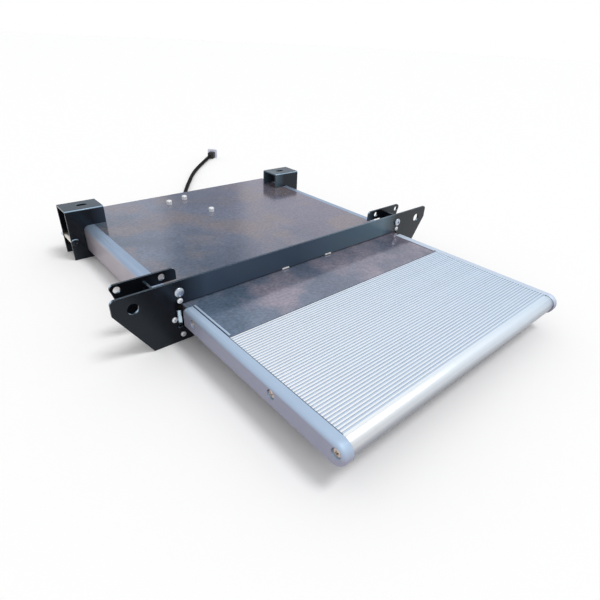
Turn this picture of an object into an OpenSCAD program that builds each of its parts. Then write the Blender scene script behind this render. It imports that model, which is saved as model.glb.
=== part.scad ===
// Electric slide-out step for a camper doorway, drawn with its tread run out.
// X runs across the doorway, -Y is the way out, Z is up, and the feet stand on Z = 0.

/* [Step] */
// Width of the ribbed tread between the side trims
tread_w = 400; // [340:5:520]
// Depth of the ribbed tread, nose included
tread_d = 193; // [160:1:215]
// Thickness of the step over its ribs
step_t = 27; // [25:1:36]
// Thickness of a side trim
trim_w = 13; // [11:0.5:18]
// Radius of the outer edges of a side trim
trim_r = 5; // [3:0.5:10]
// Distance from one rib to the next
rib_pitch = 4; // [3:0.5:8]
// Height of a rib
rib_h = 1.3; // [1:0.1:2.2]
// Thickness of the tread under its ribs
skin_t = 2.6; // [2:0.1:4]
// Wall of the round nose
nose_t = 3; // [2.5:0.5:4]
// Thickness of the deck sheet
deck_t = 2; // [1:0.25:2.75]
// Width of a slide bar
bar_w = 15.5; // [12:0.5:20]

/* [Travel] */
// How far the step runs in and out
travel = 240; // [200:5:260]
// How far the nose stands out of the front plate when the step is in
nose_over = 47; // [40:1:60]
// How far the deck reaches in behind the front plate when the step is out
deck_in = 8; // [6:1:10]

/* [Casing] */
// Thickness of a rail's outer wall
rail_wall = 6; // [5:0.5:8]
// Thickness of a rail's bottom flange
rail_floor = 6; // [5:0.5:8]
// Thickness of a rail's top lip
rail_lip = 3; // [2.5:0.5:4]
// Room beside the step inside a rail
side_gap = 4; // [3:0.5:7]
// Thickness of the top cover
cover_t = 1.5; // [1:0.25:2]
// Depth kept behind the closed step for the drive
drive_bay = 145; // [140:1:170]

/* [Plates] */
// Thickness of the plates and brackets
plate_t = 3; // [2.5:0.5:4]
// Height of the plates above the tread
plate_rise = 33; // [30:1:45]
// How far an ear of the front plate stands out past its rail
ear_w = 69; // [62:1:90]
// Hole in each ear
ear_hole_d = 14; // [10:0.5:16]
// Bolt holes in the hanger tabs
tab_hole_d = 9; // [6.5:0.5:11]
// Distance from the front plate to the hanger tabs
hanger_d = 45; // [40:1:60]
// Width of a rear bracket
bracket_w = 62; // [56:1:80]
// Depth of a rear bracket
bracket_d = 46; // [40:1:56]
// Width of the slot in a rear bracket
slot_w = 9; // [6.5:0.5:11]
// Length of the slot in a rear bracket
slot_len = 18; // [14:1:26]
// Height of the rails above the feet
rail_clear = 7; // [6:0.5:12]

/* [Drive] */
// Width of the toothed belt
belt_w = 8; // [6:1:12]
// Thickness of the toothed belt
belt_t = 2; // [1.5:0.25:3]
// Pitch of the belt's teeth
belt_pitch = 5; // [3:1:5]
// Teeth on each pulley
pulley_teeth = 20; // [18:1:22]
// Diameter of the motor
motor_d = 40; // [34:1:42]

/* [Cable] */
// Diameter of the supply cable
cable_d = 9; // [6:0.5:10]

/* [Hidden] */
$fn = 64;

// Clearance of seated pieces, of sliding pieces, of screws in their holes and of shafts in their bearings
seat_gap = 0.2;
slide_gap = 0.3;
screw_gap = 0.1;
run_gap = 0.06;

// Heights, stacked up from the feet
flange_t = 1.2;
pulley_h = belt_w + 2 * flange_t + 2 * slide_gap;
pulley_z = rail_clear + 0.5;
belt_z = pulley_z + flange_t + slide_gap;
arm_t = 3;
arm_rise = 4.5;
arm_z = pulley_z + pulley_h + arm_rise;
step_bot = arm_z + arm_t;
step_top = step_bot + step_t;
step_mid = step_bot + step_t / 2;
top_gap = 1;
lip_z = step_top + top_gap;
channel_mid = (rail_clear + rail_floor + lip_z) / 2;
rail_top = lip_z + rail_lip;
cover_z = rail_top - cover_t;
plate_top = step_top + plate_rise;
skin_z = step_top - rib_h - skin_t;
deck_z = step_top - deck_t;
nose_in = 1.5;
nose_drop = 0.6;
nose_r = step_t / 2 - nose_in;
nose_z = step_top - nose_drop - nose_r;
nose_bot = nose_z - nose_r;
bar_z = nose_bot + nose_t;

// Half widths, outwards from the middle
half_w = tread_w / 2;
step_x = half_w + trim_w;
rail_in = step_x + side_gap;
rail_x = rail_in + rail_wall;
lip_w = 17.5;
lip_x = rail_x - lip_w;
ledge_w = 7.5;
ledge_x = lip_x - ledge_w;
floor_w = 20;
floor_x = rail_x - floor_w;
open_gap = 3;
open_x = step_x + open_gap;
rail_top_r = 9;
rail_low_r = 10;
rail_in_r = 5;
bar_x = half_w - bar_w;

// Places along the travel
step_out = travel + nose_over;
case_d = deck_in + travel + drive_bay;
y_front = (step_out - case_d) / 2;
y_back = y_front + plate_t;
y_rear = y_front + case_d;
y_nose = y_front - step_out;
y_nose_mid = y_nose + step_t / 2;
y_tread = y_nose + tread_d;
trim_back = 12;
y_trim = y_front - trim_back;
y_deck = y_front + deck_in;
y_tab = y_back + hanger_d;
panel_back = 19;
y_panel = y_rear - panel_back;
y_panel_screw = y_rear - panel_back / 2;
panel_screw_step = 16;
panel_screws_z = [channel_mid - panel_screw_step / 2, channel_mid + panel_screw_step / 2];
panel_t = 2;
ledge_d = 12;
shoe_d = 26;
shoe_in = 9;
shoe_step = 81;
shoes_y = [y_deck + shoe_in, y_deck + shoe_in + shoe_step];
bar_back = 2;
y_bar = shoes_y[1] + shoe_d + bar_back;
crossbar_d = 20;

// Trim screws, from the port inside the nose to the deck
port_r = 5.2;
port_in = 4.5;
port_turn = 42;
port_at = [y_nose_mid, nose_z] + (nose_r - nose_t - port_in) * [-cos(port_turn), sin(port_turn)];
trim_screw_in = 22;
trim_screw_up = 4;
trim_screw_z = step_mid + trim_screw_up;
trim_screws_at = [port_at, [y_nose + 0.52 * tread_d, trim_screw_z], [y_trim - trim_screw_in, trim_screw_z]];
trim_bore = 11.5;
trim_bore_h = 4;
trim_head = 10.5;
trim_head_h = 3;
trim_screw_d = 4;

// Front plate: ears, tongues under the rails, and the beam over the step
ear_x = rail_x + ear_w;
ear_r = 6;
ear_up = 13;
ear_z = step_top + ear_up;
foot_in = 42;
foot_x = ear_x - foot_in;
tongue_in = 38;
tongue_x = rail_x - tongue_in;
tongue_drop = 6;
tongue_z = step_bot - tongue_drop;
beam_gap = 1.5;
beam_z = step_top + beam_gap;
open_r = trim_r + open_gap;
pad_x = 36.5;
pad_w = 12.5;
pad_t = 1.2;
pad_h = 1.8;
pad_edge = 0.4;
ear_hole_in = 24.5;
ear_hole_x = ear_x - ear_hole_in;
ear_hole_up = 15;
ear_hole_z = step_top + ear_hole_up;

// Fasteners
bolt_d = 8;
bolt_af = 13;
bolt_head = 12.6;
bolt_head_h = 4;
bolt_key = 5;
bolt_in = 12.5;
bolt_x = rail_x - bolt_in;
bolt_up = 14.5;
bolt_z = rail_top + bolt_up;
screw_d = 4;
screw_head = 7.4;
screw_head_h = 3;
low_head_h = 2.5;
tie_screw_len = 7;
screw_len = 10;
wall_screw_up = 1.2;
wall_screw = [rail_x - rail_wall / 2, channel_mid + wall_screw_up];
floor_screw = [bolt_x, rail_clear + rail_floor / 2];
beam_screw_up = 2.4;
beam_screw = [bolt_x, rail_top + beam_screw_up];
flange_in = 5;
flange_x = rail_x - flange_in;
flange_up = 11;
flange_top = bolt_z + flange_up;
sheet_x = lip_x - seat_gap;

// Hanger tabs
tab_drop = 7;
tab_top = plate_top - tab_drop;
tab_up = 5;
tab_low = rail_top + tab_up;
tab_reach = 33;
tab_in = rail_x - tab_reach;
tab_short = 16;
tab_out = ear_x - tab_short;
tab_r = 6;
tab_foot_up = 24;
tab_foot = rail_clear + tab_foot_up;
tab_foot_gap = 3.5;
tab_foot_in = rail_x + tab_foot_gap;
tab_hole_up = 18;
tab_hole_z = step_top + tab_hole_up;
tab_hole_reach = 13;
tab_hole_in = rail_x - tab_hole_reach;
tab_hole_out = ear_hole_x;
web_out = 9;
web_x = rail_x + web_out;

// Rear brackets
bracket_out = 24;
bracket_x = rail_x + bracket_out;
bracket_back = 32.5;
y_bracket = y_rear - bracket_back - bracket_d;
bend_in = 0.2;
bend_r = plate_t + bend_in;
slot_off = 3;
slot_x = bracket_x - bracket_w / 2 - slot_off;
sleeve_d = 11;
sleeve_in = 6;
sleeve_x = bracket_x - sleeve_in;
sleeve_drop = 1.5;
sleeve_z = channel_mid - sleeve_drop;

// Drive
pitch_drop = 0.6;
pulley_r = pulley_teeth * belt_pitch / 2 / PI - pitch_drop;
groove_r = 0.22 * belt_pitch;
flange_rise = 0.7;
flange_r = pulley_r + belt_t + flange_rise;
belt_r = pulley_r + slide_gap;
shaft_x = -28;
shaft_back = 78;
shaft_y = y_rear - shaft_back;
shaft_d = 10;
shaft_in = 14;
idler_in = 24;
idler_y = y_front + idler_in;
idler_pin_d = 8;
run_x = shaft_x + belt_r + belt_t / 2;
clamp_gap = 2;
clamp_y = idler_y + flange_r + clamp_gap;
clamp_d = 10;
arm_screw_x = shaft_x + flange_r + screw_head / 2 + 2 * slide_gap;
arm_screw_in = 5;
arm_screw_step = 10;
arm_screws_y = [y_deck - arm_screw_in - arm_screw_step, y_deck - arm_screw_in];
arm_side = 9;
arm_rim = 1;
arm_x = [run_x - arm_side, arm_screw_x + screw_head / 2 + arm_rim];
gear_up = 1.5;
gear_z = step_bot + gear_up;
gear_r = 36;
motor_back = 43;
motor_y = y_rear - motor_back;
motor_gap = 1.5;
motor_z = cover_z - motor_d / 2 - motor_gap;
motor_x = 14;
motor_len = 86;
worm_len = 86;
worm_cap_d = 20;
worm_cap_t = 6;
lugs_at = [[-27, 26], [11, 37], [19, -53]];
motor_bolts_at = [for (at = lugs_at) [shaft_x, shaft_y] + at];
motor_bolt_d = 6;
motor_head = 9.6;
motor_head_h = 6;
motor_crown_h = 1.5;
lug_r = 8;
lug_h = 12;
tie_t = 3;
tie_d = 24;
tie_y = [idler_y - tie_d / 2, idler_y + tie_d / 2];
tie_in = 3;
tie_x = rail_x - tie_in;
tie_screws_y = [idler_y - tie_d / 4, idler_y + tie_d / 4];
bush_d = 12;

// Cable: gland, route along the floor and connector
gland_x = 30;
gland_up = 9;
gland_z = rail_clear + gland_up;
gland_wall = 3;
gland_d = cable_d + 2 * gland_wall;
terminal_w = 24;
terminal_h = 17;
cable_r = cable_d / 2;
connector_w = 18;
connector_len = 26;
connector_flange_w = 30;
connector_flange_h = 25;
connector_rim = 3;
route = [[gland_x, 325, gland_z], [gland_x, 345, gland_z], [31, 366, 13], [34, 388, 8], [40, 412, 5.2],
    [50, 437, 5], [66, 465, 5], [86, 497, 5], [110, 533, 5], [138, 573, 5], [176, 625, 5], [210, 666, 5],
    [245, 704, 5], [284, 742, 6.5], [318, 772, 9]];

// Extrude an XZ drawing along Y, or a YZ drawing along X
module along_y(y0, y1) {
    translate([0, y1, 0]) rotate([90, 0, 0]) linear_extrude(y1 - y0) children();
}

module along_x(x0, x1) {
    translate([x0, 0, 0]) rotate([90, 0, 90]) linear_extrude(x1 - x0) children();
}

// Cylinders along Y and along X
module rod_y(x, z, d, y0, y1, sides = 48) {
    translate([x, y1, z]) rotate([90, 0, 0]) cylinder(d = d, h = y1 - y0, $fn = sides);
}

module rod_x(y, z, d, x0, x1) {
    translate([x0, y, z]) rotate([0, 90, 0]) cylinder(d = d, h = x1 - x0, $fn = 48);
}

// Box between two corners
module block(low, high) {
    translate(low) cube(high - low);
}

// Rectangle with rounded corners on its right-hand side
module right_round(low, high, r_low, r_high) {
    translate([low.x, low.y + r_low]) square([high.x - low.x, high.y - low.y - r_low - r_high]);
    translate([high.x - r_low, low.y + r_low]) circle(r_low);
    translate([high.x - r_high, high.y - r_high]) circle(r_high);
    translate([low.x, low.y]) square([high.x - low.x - r_low, r_low]);
    translate([low.x, high.y - r_high]) square([high.x - low.x - r_high, r_high]);
}

// Draw a piece on both sides
module both_sides() {
    for (side = [0, 1]) mirror([side, 0, 0]) children();
}

// Outside of a rail, grown by a clearance
module rail_outline(grow) {
    right_round([0, rail_clear - grow], [rail_x + grow, rail_top + grow], rail_low_r + grow,
        rail_top_r + grow);
}

module rail() {
    color("silver") difference() {
        along_y(y_back, y_rear - 3) difference() {
            rail_outline(0);
            right_round([-1, rail_clear + rail_floor], [rail_in, lip_z], rail_in_r, rail_in_r);
            translate([-1, cover_z]) square([lip_x + 1, rail_top]);
            translate([-1, 0]) square([ledge_x + 1, rail_top]);
            square([floor_x, rail_clear + rail_floor]);
        }
        for (at = [wall_screw, floor_screw])
            rod_y(at.x, at.y, screw_d + 2 * screw_gap, y_back - 1, y_back + screw_len);
        for (y = tie_screws_y) translate([floor_screw.x, y, rail_clear - 1])
            cylinder(d = screw_d + 2 * screw_gap, h = tie_screw_len - tie_t + 1.5);
        for (z = panel_screws_z)
            rod_x(y_panel_screw, z, screw_d + 2 * screw_gap, rail_in - 1, rail_in + rail_wall - 2);
    }
}

module front_plate() {
    color("#1b1c1f") along_y(y_front, y_back) difference() {
        polygon([[-ear_x, plate_top], [ear_x, plate_top], [ear_x, ear_z], [foot_x, 0], [-foot_x, 0],
            [-ear_x, ear_z]]);
        translate([-tongue_x, -1]) square([2 * tongue_x, tongue_z + 2]);
        for (side = [0, 1]) mirror([side, 0]) translate([ear_x - ear_r, plate_top - ear_r]) difference() {
            square(ear_r + 1);
            circle(ear_r);
        }
        for (side = [0, 1]) mirror([side, 0])
            right_round([-1, tongue_z], [open_x, beam_z], 3, open_r);
        for (side = [-1, 1]) {
            translate([side * ear_hole_x, ear_hole_z]) circle(d = ear_hole_d);
            translate([side * bolt_x, bolt_z]) circle(d = bolt_d + 2 * screw_gap);
            for (at = [wall_screw, floor_screw, beam_screw])
                translate([side * at.x, at.y]) circle(d = screw_d + 2 * screw_gap);
        }
    }
}

// Welded hanger behind an ear: a web and a tab that stands over the rail
module hanger() {
    color("#1b1c1f") {
        along_y(y_tab, y_tab + plate_t) difference() {
            union() {
                translate([tab_in, tab_low]) square([tab_out - tab_in - tab_r, tab_top - tab_r - tab_low]);
                translate([tab_in + tab_r, tab_low])
                    square([tab_out - tab_in - 2 * tab_r, tab_top - tab_low]);
                for (x = [tab_in + tab_r, tab_out - tab_r]) translate([x, tab_top - tab_r]) circle(tab_r);
                polygon([[tab_foot_in, tab_foot], [tab_out - 13, tab_foot], [tab_out, tab_top - tab_r],
                    [tab_foot_in, tab_top - tab_r]]);
            }
            for (x = [tab_hole_in, tab_hole_out]) translate([x, tab_hole_z]) circle(d = tab_hole_d);
        }
        block([web_x, y_back, rail_clear], [web_x + plate_t, y_tab, tab_top - tab_r]);
    }
}

module top_cover() {
    color("#9aa3ab") difference() {
        union() {
            block([-sheet_x, y_back, cover_z], [sheet_x, y_rear, rail_top]);
            block([-flange_x, y_back, rail_top + seat_gap], [flange_x, y_back + cover_t, flange_top]);
            block([-sheet_x, y_back, cover_z], [sheet_x, y_back + cover_t, flange_top]);
        }
        for (at = motor_bolts_at)
            translate([at.x, at.y, cover_z - 1]) cylinder(d = motor_bolt_d + 4 * screw_gap, h = cover_t + 2);
        both_sides() {
            rod_y(bolt_x, bolt_z, bolt_d + 2 * screw_gap, y_back - 1, y_back + cover_t + 1);
            rod_y(beam_screw.x, beam_screw.y, screw_d + 2 * screw_gap, y_back - 1, y_back + cover_t + 1);
        }
    }
}

module rear_panel() {
    panel_x = rail_in - seat_gap;
    low = rail_clear + rail_floor + rail_in_r;
    high = lip_z - rail_in_r;
    color("#9aa3ab") difference() {
        union() {
            block([1 - ledge_x, y_panel, rail_clear + 1],
                [ledge_x - 1, y_panel + panel_t, cover_z - seat_gap]);
            block([-panel_x, y_panel, low], [panel_x, y_panel + panel_t, high]);
            both_sides() block([panel_x - panel_t, y_panel, low], [panel_x, y_rear - 4, high]);
        }
        rod_y(gland_x, gland_z, gland_d + 2 * screw_gap, y_panel - 1, y_panel + panel_t + 1);
        both_sides() for (z = panel_screws_z)
            rod_x(y_panel_screw, z, screw_d + 2 * screw_gap, panel_x - 3, panel_x + 1);
    }
}

// Folded bracket hooked over the rail, with a slot to bolt it up
module rear_bracket() {
    color("#1b1c1f") difference() {
        along_x(bracket_x - bracket_w, bracket_x) translate([y_bracket, 0]) difference() {
            bracket_section(bracket_d, plate_top, bend_r);
            translate([plate_t, -1])
                bracket_section(bracket_d - 2 * plate_t, plate_top - plate_t + 1, bend_r - plate_t + 0.5);
        }
        along_y(y_bracket - 1, y_bracket + bracket_d + 1) rail_outline(seat_gap);
        block([0, y_bracket - 1, -1], [rail_x - 9, y_bracket + bracket_d + 1, rail_clear]);
        for (x = [-1, 1])
            translate([slot_x + x * (slot_len - slot_w) / 2, y_bracket + bracket_d / 2, plate_top - 10])
                cylinder(d = slot_w, h = 20);
        translate([slot_x, y_bracket + bracket_d / 2, plate_top])
            cube([slot_len - slot_w, slot_w, 20], center = true);
        rod_y(sleeve_x, sleeve_z, bolt_d + 2 * screw_gap, y_bracket - 1, y_bracket + bracket_d + 1);
    }
}

module bracket_section(d, h, r) {
    square([d, h - r]);
    translate([r, 0]) square([d - 2 * r, h]);
    for (y = [r, d - r]) translate([y, h - r]) circle(r);
}

module bracket_sleeves() {
    color("goldenrod") both_sides() difference() {
        rod_y(sleeve_x, sleeve_z, sleeve_d, y_bracket + plate_t, y_bracket + bracket_d - plate_t);
        rod_y(sleeve_x, sleeve_z, bolt_d + 2 * screw_gap, y_bracket, y_bracket + bracket_d);
    }
}

module bracket_bolts() {
    color("#222326") both_sides() {
        rod_y(sleeve_x, sleeve_z, bolt_d, y_bracket, y_bracket + bracket_d + 8);
        rod_y(sleeve_x, sleeve_z, bolt_d + 5, y_bracket - 3.5, y_bracket);
    }
}

// Hexagon nut along Y, from y0 towards +Y
module nut_y(x, z, y0) {
    difference() {
        rod_y(x, z, bolt_af / cos(30), y0, y0 + 6.5, 6);
        rod_y(x, z, bolt_d + 2 * screw_gap, y0 - 1, y0 + 8);
    }
}

module bracket_nuts() {
    color("silver") both_sides() nut_y(sleeve_x, sleeve_z, y_bracket + bracket_d);
}

module plate_bolts() {
    color("silver") both_sides() {
        rod_y(bolt_x, bolt_z, bolt_d, y_front, y_back + cover_t + 9);
        difference() {
            union() {
                rod_y(bolt_x, bolt_z, bolt_head, y_front - 2, y_front);
                rod_y(bolt_x, bolt_z, bolt_head - 3, y_front - bolt_head_h, y_front - 2);
            }
            rod_y(bolt_x, bolt_z, bolt_key / cos(30), y_front - bolt_head_h - 1, y_front - 1.5, 6);
        }
    }
}

module plate_nuts() {
    color("silver") both_sides() nut_y(bolt_x, bolt_z, y_back + cover_t);
}

module plate_screws() {
    color("gainsboro") both_sides() {
        for (at = [wall_screw, floor_screw, beam_screw]) {
            rod_y(at.x, at.y, screw_d, y_front, y_back + screw_len - 2);
            rod_y(at.x, at.y, screw_head, y_front - screw_head_h, y_front);
        }
    }
}

module panel_screws() {
    face = rail_in - seat_gap - panel_t;
    color("silver") both_sides() for (z = panel_screws_z) {
        rod_x(y_panel_screw, z, screw_d, face, rail_in + rail_wall - 2.5);
        rod_x(y_panel_screw, z, screw_head, face - screw_head_h, face);
    }
}

// Nylon clips on the lower edge of the beam
module glide_pads() {
    color("white") both_sides() along_x(pad_x, pad_x + pad_w) translate([y_front, step_top + slide_gap]) {
        rise = beam_z - step_top - slide_gap;
        square([plate_t + pad_t, rise]);
        translate([-pad_t, rise - pad_edge]) square([plate_t, pad_edge]);
        translate([-pad_t, rise - pad_edge]) square([pad_t, pad_h]);
        translate([plate_t, 0]) square([pad_t, cover_z - step_top - 2 * slide_gap]);
    }
}

// Worm gearbox: wheel housing, worm housing and three lugs under the cover
module gearbox() {
    color("#8f949a") difference() {
        union() {
            translate([shaft_x, shaft_y, gear_z]) cylinder(r = gear_r, h = cover_z - gear_z);
            translate([shaft_x, shaft_y, gear_z - 1]) cylinder(d = shaft_d + 12, h = 2);
            rod_x(motor_y, motor_z, motor_d - 3, motor_x - worm_len, motor_x);
            rod_x(motor_y, motor_z, worm_cap_d, motor_x - worm_len - worm_cap_t, motor_x - worm_len);
            for (at = motor_bolts_at) {
                reach = norm(at - [shaft_x, shaft_y]);
                translate([at.x, at.y, cover_z - lug_h]) cylinder(r = lug_r, h = lug_h);
                translate([shaft_x, shaft_y, cover_z - lug_h])
                    rotate(atan2(at.y - shaft_y, at.x - shaft_x))
                        translate([0, -lug_r, 0]) cube([reach, 2 * lug_r, lug_h]);
            }
        }
        translate([shaft_x, shaft_y, gear_z - 3]) cylinder(d = shaft_d + 2 * run_gap, h = shaft_in + 4);
        for (at = motor_bolts_at)
            translate([at.x, at.y, cover_z - lug_h + 1])
                cylinder(d = motor_bolt_d + 2 * screw_gap, h = lug_h);
    }
}

module motor_can() {
    color("#5d6166") {
        rod_x(motor_y, motor_z, motor_d, motor_x, motor_x + motor_len);
        rod_x(motor_y, motor_z, motor_d - 8, motor_x + motor_len, motor_x + motor_len + 5);
        rod_x(motor_y, motor_z, 14, motor_x + motor_len + 5, motor_x + motor_len + 9);
    }
}

module motor_terminal() {
    color("#26272a") difference() {
        translate([gland_x - terminal_w / 2, motor_y + 2, gland_z - 7])
            cube([terminal_w, y_panel - motor_y - 2, terminal_h]);
        rod_x(motor_y, motor_z, motor_d + 2 * screw_gap, 0, motor_x + motor_len);
    }
}

module motor_bolts() {
    color("gainsboro") for (at = motor_bolts_at) translate([at.x, at.y, rail_top]) {
        translate([0, 0, -lug_h]) cylinder(d = motor_bolt_d, h = lug_h);
        cylinder(d = motor_head / cos(30), h = motor_head_h, $fn = 6);
        translate([0, 0, motor_head_h])
            cylinder(d1 = motor_head, d2 = motor_head - 2 * motor_crown_h, h = motor_crown_h);
    }
}

// Flat tie under the rails, which carries the idler
module front_tie() {
    color("#9aa3ab") difference() {
        block([-tie_x, tie_y[0], rail_clear - tie_t], [tie_x, tie_y[1], rail_clear]);
        both_sides() for (y = tie_screws_y) translate([floor_screw.x, y, 0])
            cylinder(d = screw_d + 2 * screw_gap, h = rail_clear + 1);
        translate([shaft_x, idler_y, 0]) cylinder(d = idler_pin_d + 2 * screw_gap, h = rail_clear + 1);
    }
}

module tie_screws() {
    color("silver") both_sides() for (y = tie_screws_y) translate([floor_screw.x, y, rail_clear - tie_t]) {
        cylinder(d = screw_d, h = tie_screw_len);
        translate([0, 0, -low_head_h]) cylinder(d = screw_head, h = low_head_h);
    }
}

module idler_pin() {
    color("silver") translate([shaft_x, idler_y, rail_clear - tie_t]) {
        cylinder(d = idler_pin_d, h = tie_t + pulley_h + 0.8);
        translate([0, 0, tie_t + pulley_h + 0.8]) cylinder(d = idler_pin_d + 3, h = 0.7);
    }
}

// Loop of the toothed belt, seen from above
module belt_outline(r) {
    translate([shaft_x, idler_y]) circle(r);
    translate([shaft_x, shaft_y]) circle(r);
    translate([shaft_x - r, idler_y]) square([2 * r, shaft_y - idler_y]);
}

module drive_belt() {
    color("#202124") translate([0, 0, belt_z]) linear_extrude(belt_w) difference() {
        belt_outline(belt_r + belt_t);
        belt_outline(belt_r);
    }
}

module cable_gland() {
    color("#1d1e20") translate([gland_x, y_panel + panel_t, gland_z]) rotate([-90, 0, 0]) difference() {
        union() {
            translate([0, 0, -panel_t]) cylinder(d = gland_d, h = panel_t);
            cylinder(d = (gland_d + 4) / cos(30), h = 5, $fn = 6);
            translate([0, 0, 5]) cylinder(d = gland_d + 1, h = 5);
            translate([0, 0, 10]) cylinder(d1 = gland_d, d2 = gland_d - 3, h = 4);
        }
        translate([0, 0, -3]) cylinder(d = cable_d + 2 * seat_gap, h = 20);
    }
}

// Points between the route's own points, on a smooth curve through them
function smooth(p0, p1, p2, p3, t) =
    0.5 * (2 * p1 + (p2 - p0) * t + (2 * p0 - 5 * p1 + 4 * p2 - p3) * t * t
    + (3 * p1 - p0 - 3 * p2 + p3) * t * t * t);
function route_at(i) = route[max(0, min(len(route) - 1, i))];
cable_path = [for (i = [0 : len(route) - 2], t = [0, 0.5])
    smooth(route_at(i - 1), route_at(i), route_at(i + 1), route_at(i + 2), t), route[len(route) - 1]];

// Tube swept along a path that never stands upright
module tube(path, r, sides) {
    last = len(path) - 1;
    ways = [for (i = [0 : last]) path[min(i + 1, last)] - path[max(i - 1, 0)]];
    points = [for (i = [0 : last], j = [0 : sides - 1])
        let (way = ways[i] / norm(ways[i]), flat = cross(way, [0, 0, 1]), across = flat / norm(flat))
        path[i] + r * (cos(360 * j / sides) * across + sin(360 * j / sides) * cross(across, way))];
    walls = [for (i = [0 : last - 1], j = [0 : sides - 1])
        let (a = i * sides + j, b = i * sides + (j + 1) % sides)
        each [[a, b, b + sides], [a, b + sides, a + sides]]];
    ends = [[for (j = [sides - 1 : -1 : 0]) j], [for (j = [0 : sides - 1]) last * sides + j]];
    polyhedron(points, concat(walls, ends));
}

module cable() {
    color("#161719") tube(cable_path, cable_r, 10);
}

// Place a piece at the cable's end, its X along the cable
module at_cable_end() {
    tip = route[len(route) - 1];
    way = tip - route[len(route) - 2];
    translate([tip.x, tip.y, 0]) rotate(atan2(way.y, way.x)) children();
}

module connector_body() {
    color("#161719") at_cable_end() {
        translate([0, -connector_w / 2 + 3, 3]) cube([6, connector_w - 6, connector_w - 6]);
        translate([6, -connector_w / 2, 0]) cube([connector_len - 6, connector_w, connector_w]);
    }
}

module connector_flange() {
    color("#dfe0ec") at_cable_end() translate([connector_len, -connector_flange_w / 2, 0]) difference() {
        cube([8, connector_flange_w, connector_flange_h]);
        translate([connector_rim, connector_rim, connector_rim])
            cube([6, connector_flange_w - 2 * connector_rim, connector_flange_h - 2 * connector_rim]);
    }
}

// Ribbed tread: rows of ribs, round nose set in from the trims, foot, screw port and a ledge for the deck
module tread_section() {
    rib_room = y_tread - y_nose_mid;
    ribs = floor(rib_room / rib_pitch);
    translate([y_nose_mid, skin_z]) square([rib_room, skin_t]);
    for (i = [0 : ribs - 1]) translate([y_tread - (i + 0.5) * rib_pitch, skin_z + skin_t])
        polygon([[-0.32 * rib_pitch, -0.01], [0.32 * rib_pitch, -0.01], [0.22 * rib_pitch, rib_h],
            [-0.22 * rib_pitch, rib_h]]);
    difference() {
        translate([y_nose_mid, nose_z]) circle(nose_r);
        translate([y_nose_mid, nose_z]) circle(nose_r - nose_t);
        translate([y_nose_mid, step_bot - 1]) square(2 * step_t);
    }
    translate([y_nose_mid, nose_bot]) square([2 * nose_r, nose_t]);
    translate(port_at) difference() {
        circle(port_r);
        circle(trim_screw_d / 2 + screw_gap);
    }
    translate([y_tread - 1, skin_z]) square([ledge_d + 1, deck_z - skin_z]);
}

module tread() {
    web_t = 2.5;
    web_h = skin_z - bar_z;
    color("#dfe4ea") {
        along_x(-half_w, half_w) tread_section();
        along_x(-bar_x + 1, bar_x - 1) for (share = [0.31, 0.57])
            translate([y_nose + share * tread_d, bar_z]) {
                square([web_t, web_h + 0.5]);
                translate([-2 * web_t, 0]) square([5 * web_t, web_t]);
            }
    }
}

// Deck sheet: narrow between the trims, with raised hems, and wide behind them
module deck() {
    narrow = half_w - 1.5;
    hem = 0.8;
    hem_w = 2.5;
    color("#8d969e") {
        block([-narrow, y_tread + seat_gap, deck_z], [narrow, y_deck, step_top]);
        block([-half_w - 7, y_trim + seat_gap, deck_z], [half_w + 7, y_deck, step_top]);
        both_sides() block([narrow - hem_w, y_tread + hem_w, step_top - 0.1],
            [narrow, y_trim, step_top + hem]);
    }
}

// Half of a trim's section, from its middle to its edge, with the outer edge rounded
module trim_half() {
    intersection() {
        square([step_t / 2, trim_w]);
        union() {
            square([step_t / 2 - trim_r, trim_w]);
            square([step_t / 2, trim_w - trim_r]);
            translate([step_t / 2 - trim_r, trim_w - trim_r]) circle(trim_r);
        }
    }
}

module trim() {
    color("#b9c3cf") difference() {
        union() {
            translate([half_w, y_nose_mid, step_mid]) rotate([0, 90, 0]) rotate(180)
                rotate_extrude(angle = 180) trim_half();
            along_y(y_nose_mid, y_trim) translate([half_w, step_mid])
                for (side = [0, 1]) mirror([0, side]) rotate(90) mirror([0, 1]) trim_half();
        }
        for (at = trim_screws_at) {
            rod_x(at.x, at.y, trim_screw_d + 2 * screw_gap, half_w - 1, step_x);
            rod_x(at.x, at.y, trim_bore, step_x - trim_bore_h, step_x + 1);
        }
    }
}

module trim_screws() {
    seat = step_x - trim_bore_h;
    color("silver") for (at = trim_screws_at) {
        rod_x(at.x, at.y, trim_screw_d, half_w - 12, seat);
        rod_x(at.x, at.y, trim_head, seat, seat + trim_head_h);
    }
}

// Slide bar: carries the tread and deck, and runs back into the rail
module slide_bar() {
    y_step = y_tread + ledge_d + 0.5;
    color("#aab2bb") difference() {
        union() {
            block([bar_x, y_nose_mid + 8, bar_z], [half_w, y_bar, skin_z]);
            block([bar_x, y_step, bar_z], [half_w, y_bar, deck_z]);
        }
        for (at = [trim_screws_at[1], trim_screws_at[2]])
            rod_x(at.x, at.y, trim_screw_d + 2 * screw_gap, half_w - 13, half_w + 1);
    }
}

// Square tube between the slide bars
module crossbar(y0, y1, z0, z1) {
    wall = 2.5;
    color("#aab2bb") along_x(-bar_x, bar_x) difference() {
        translate([y0, z0]) square([y1 - y0, z1 - z0]);
        translate([y0 + wall, z0 + wall]) square([y1 - y0 - 2 * wall, z1 - z0 - 2 * wall]);
    }
}

module crossbar_rear() {
    difference() {
        crossbar(y_deck - crossbar_d, y_deck, step_bot, deck_z);
        color("#aab2bb") arm_screw_holes();
    }
}

module crossbar_mid() {
    crossbar(y_tread - crossbar_d, y_tread, bar_z, skin_z);
}

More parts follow.
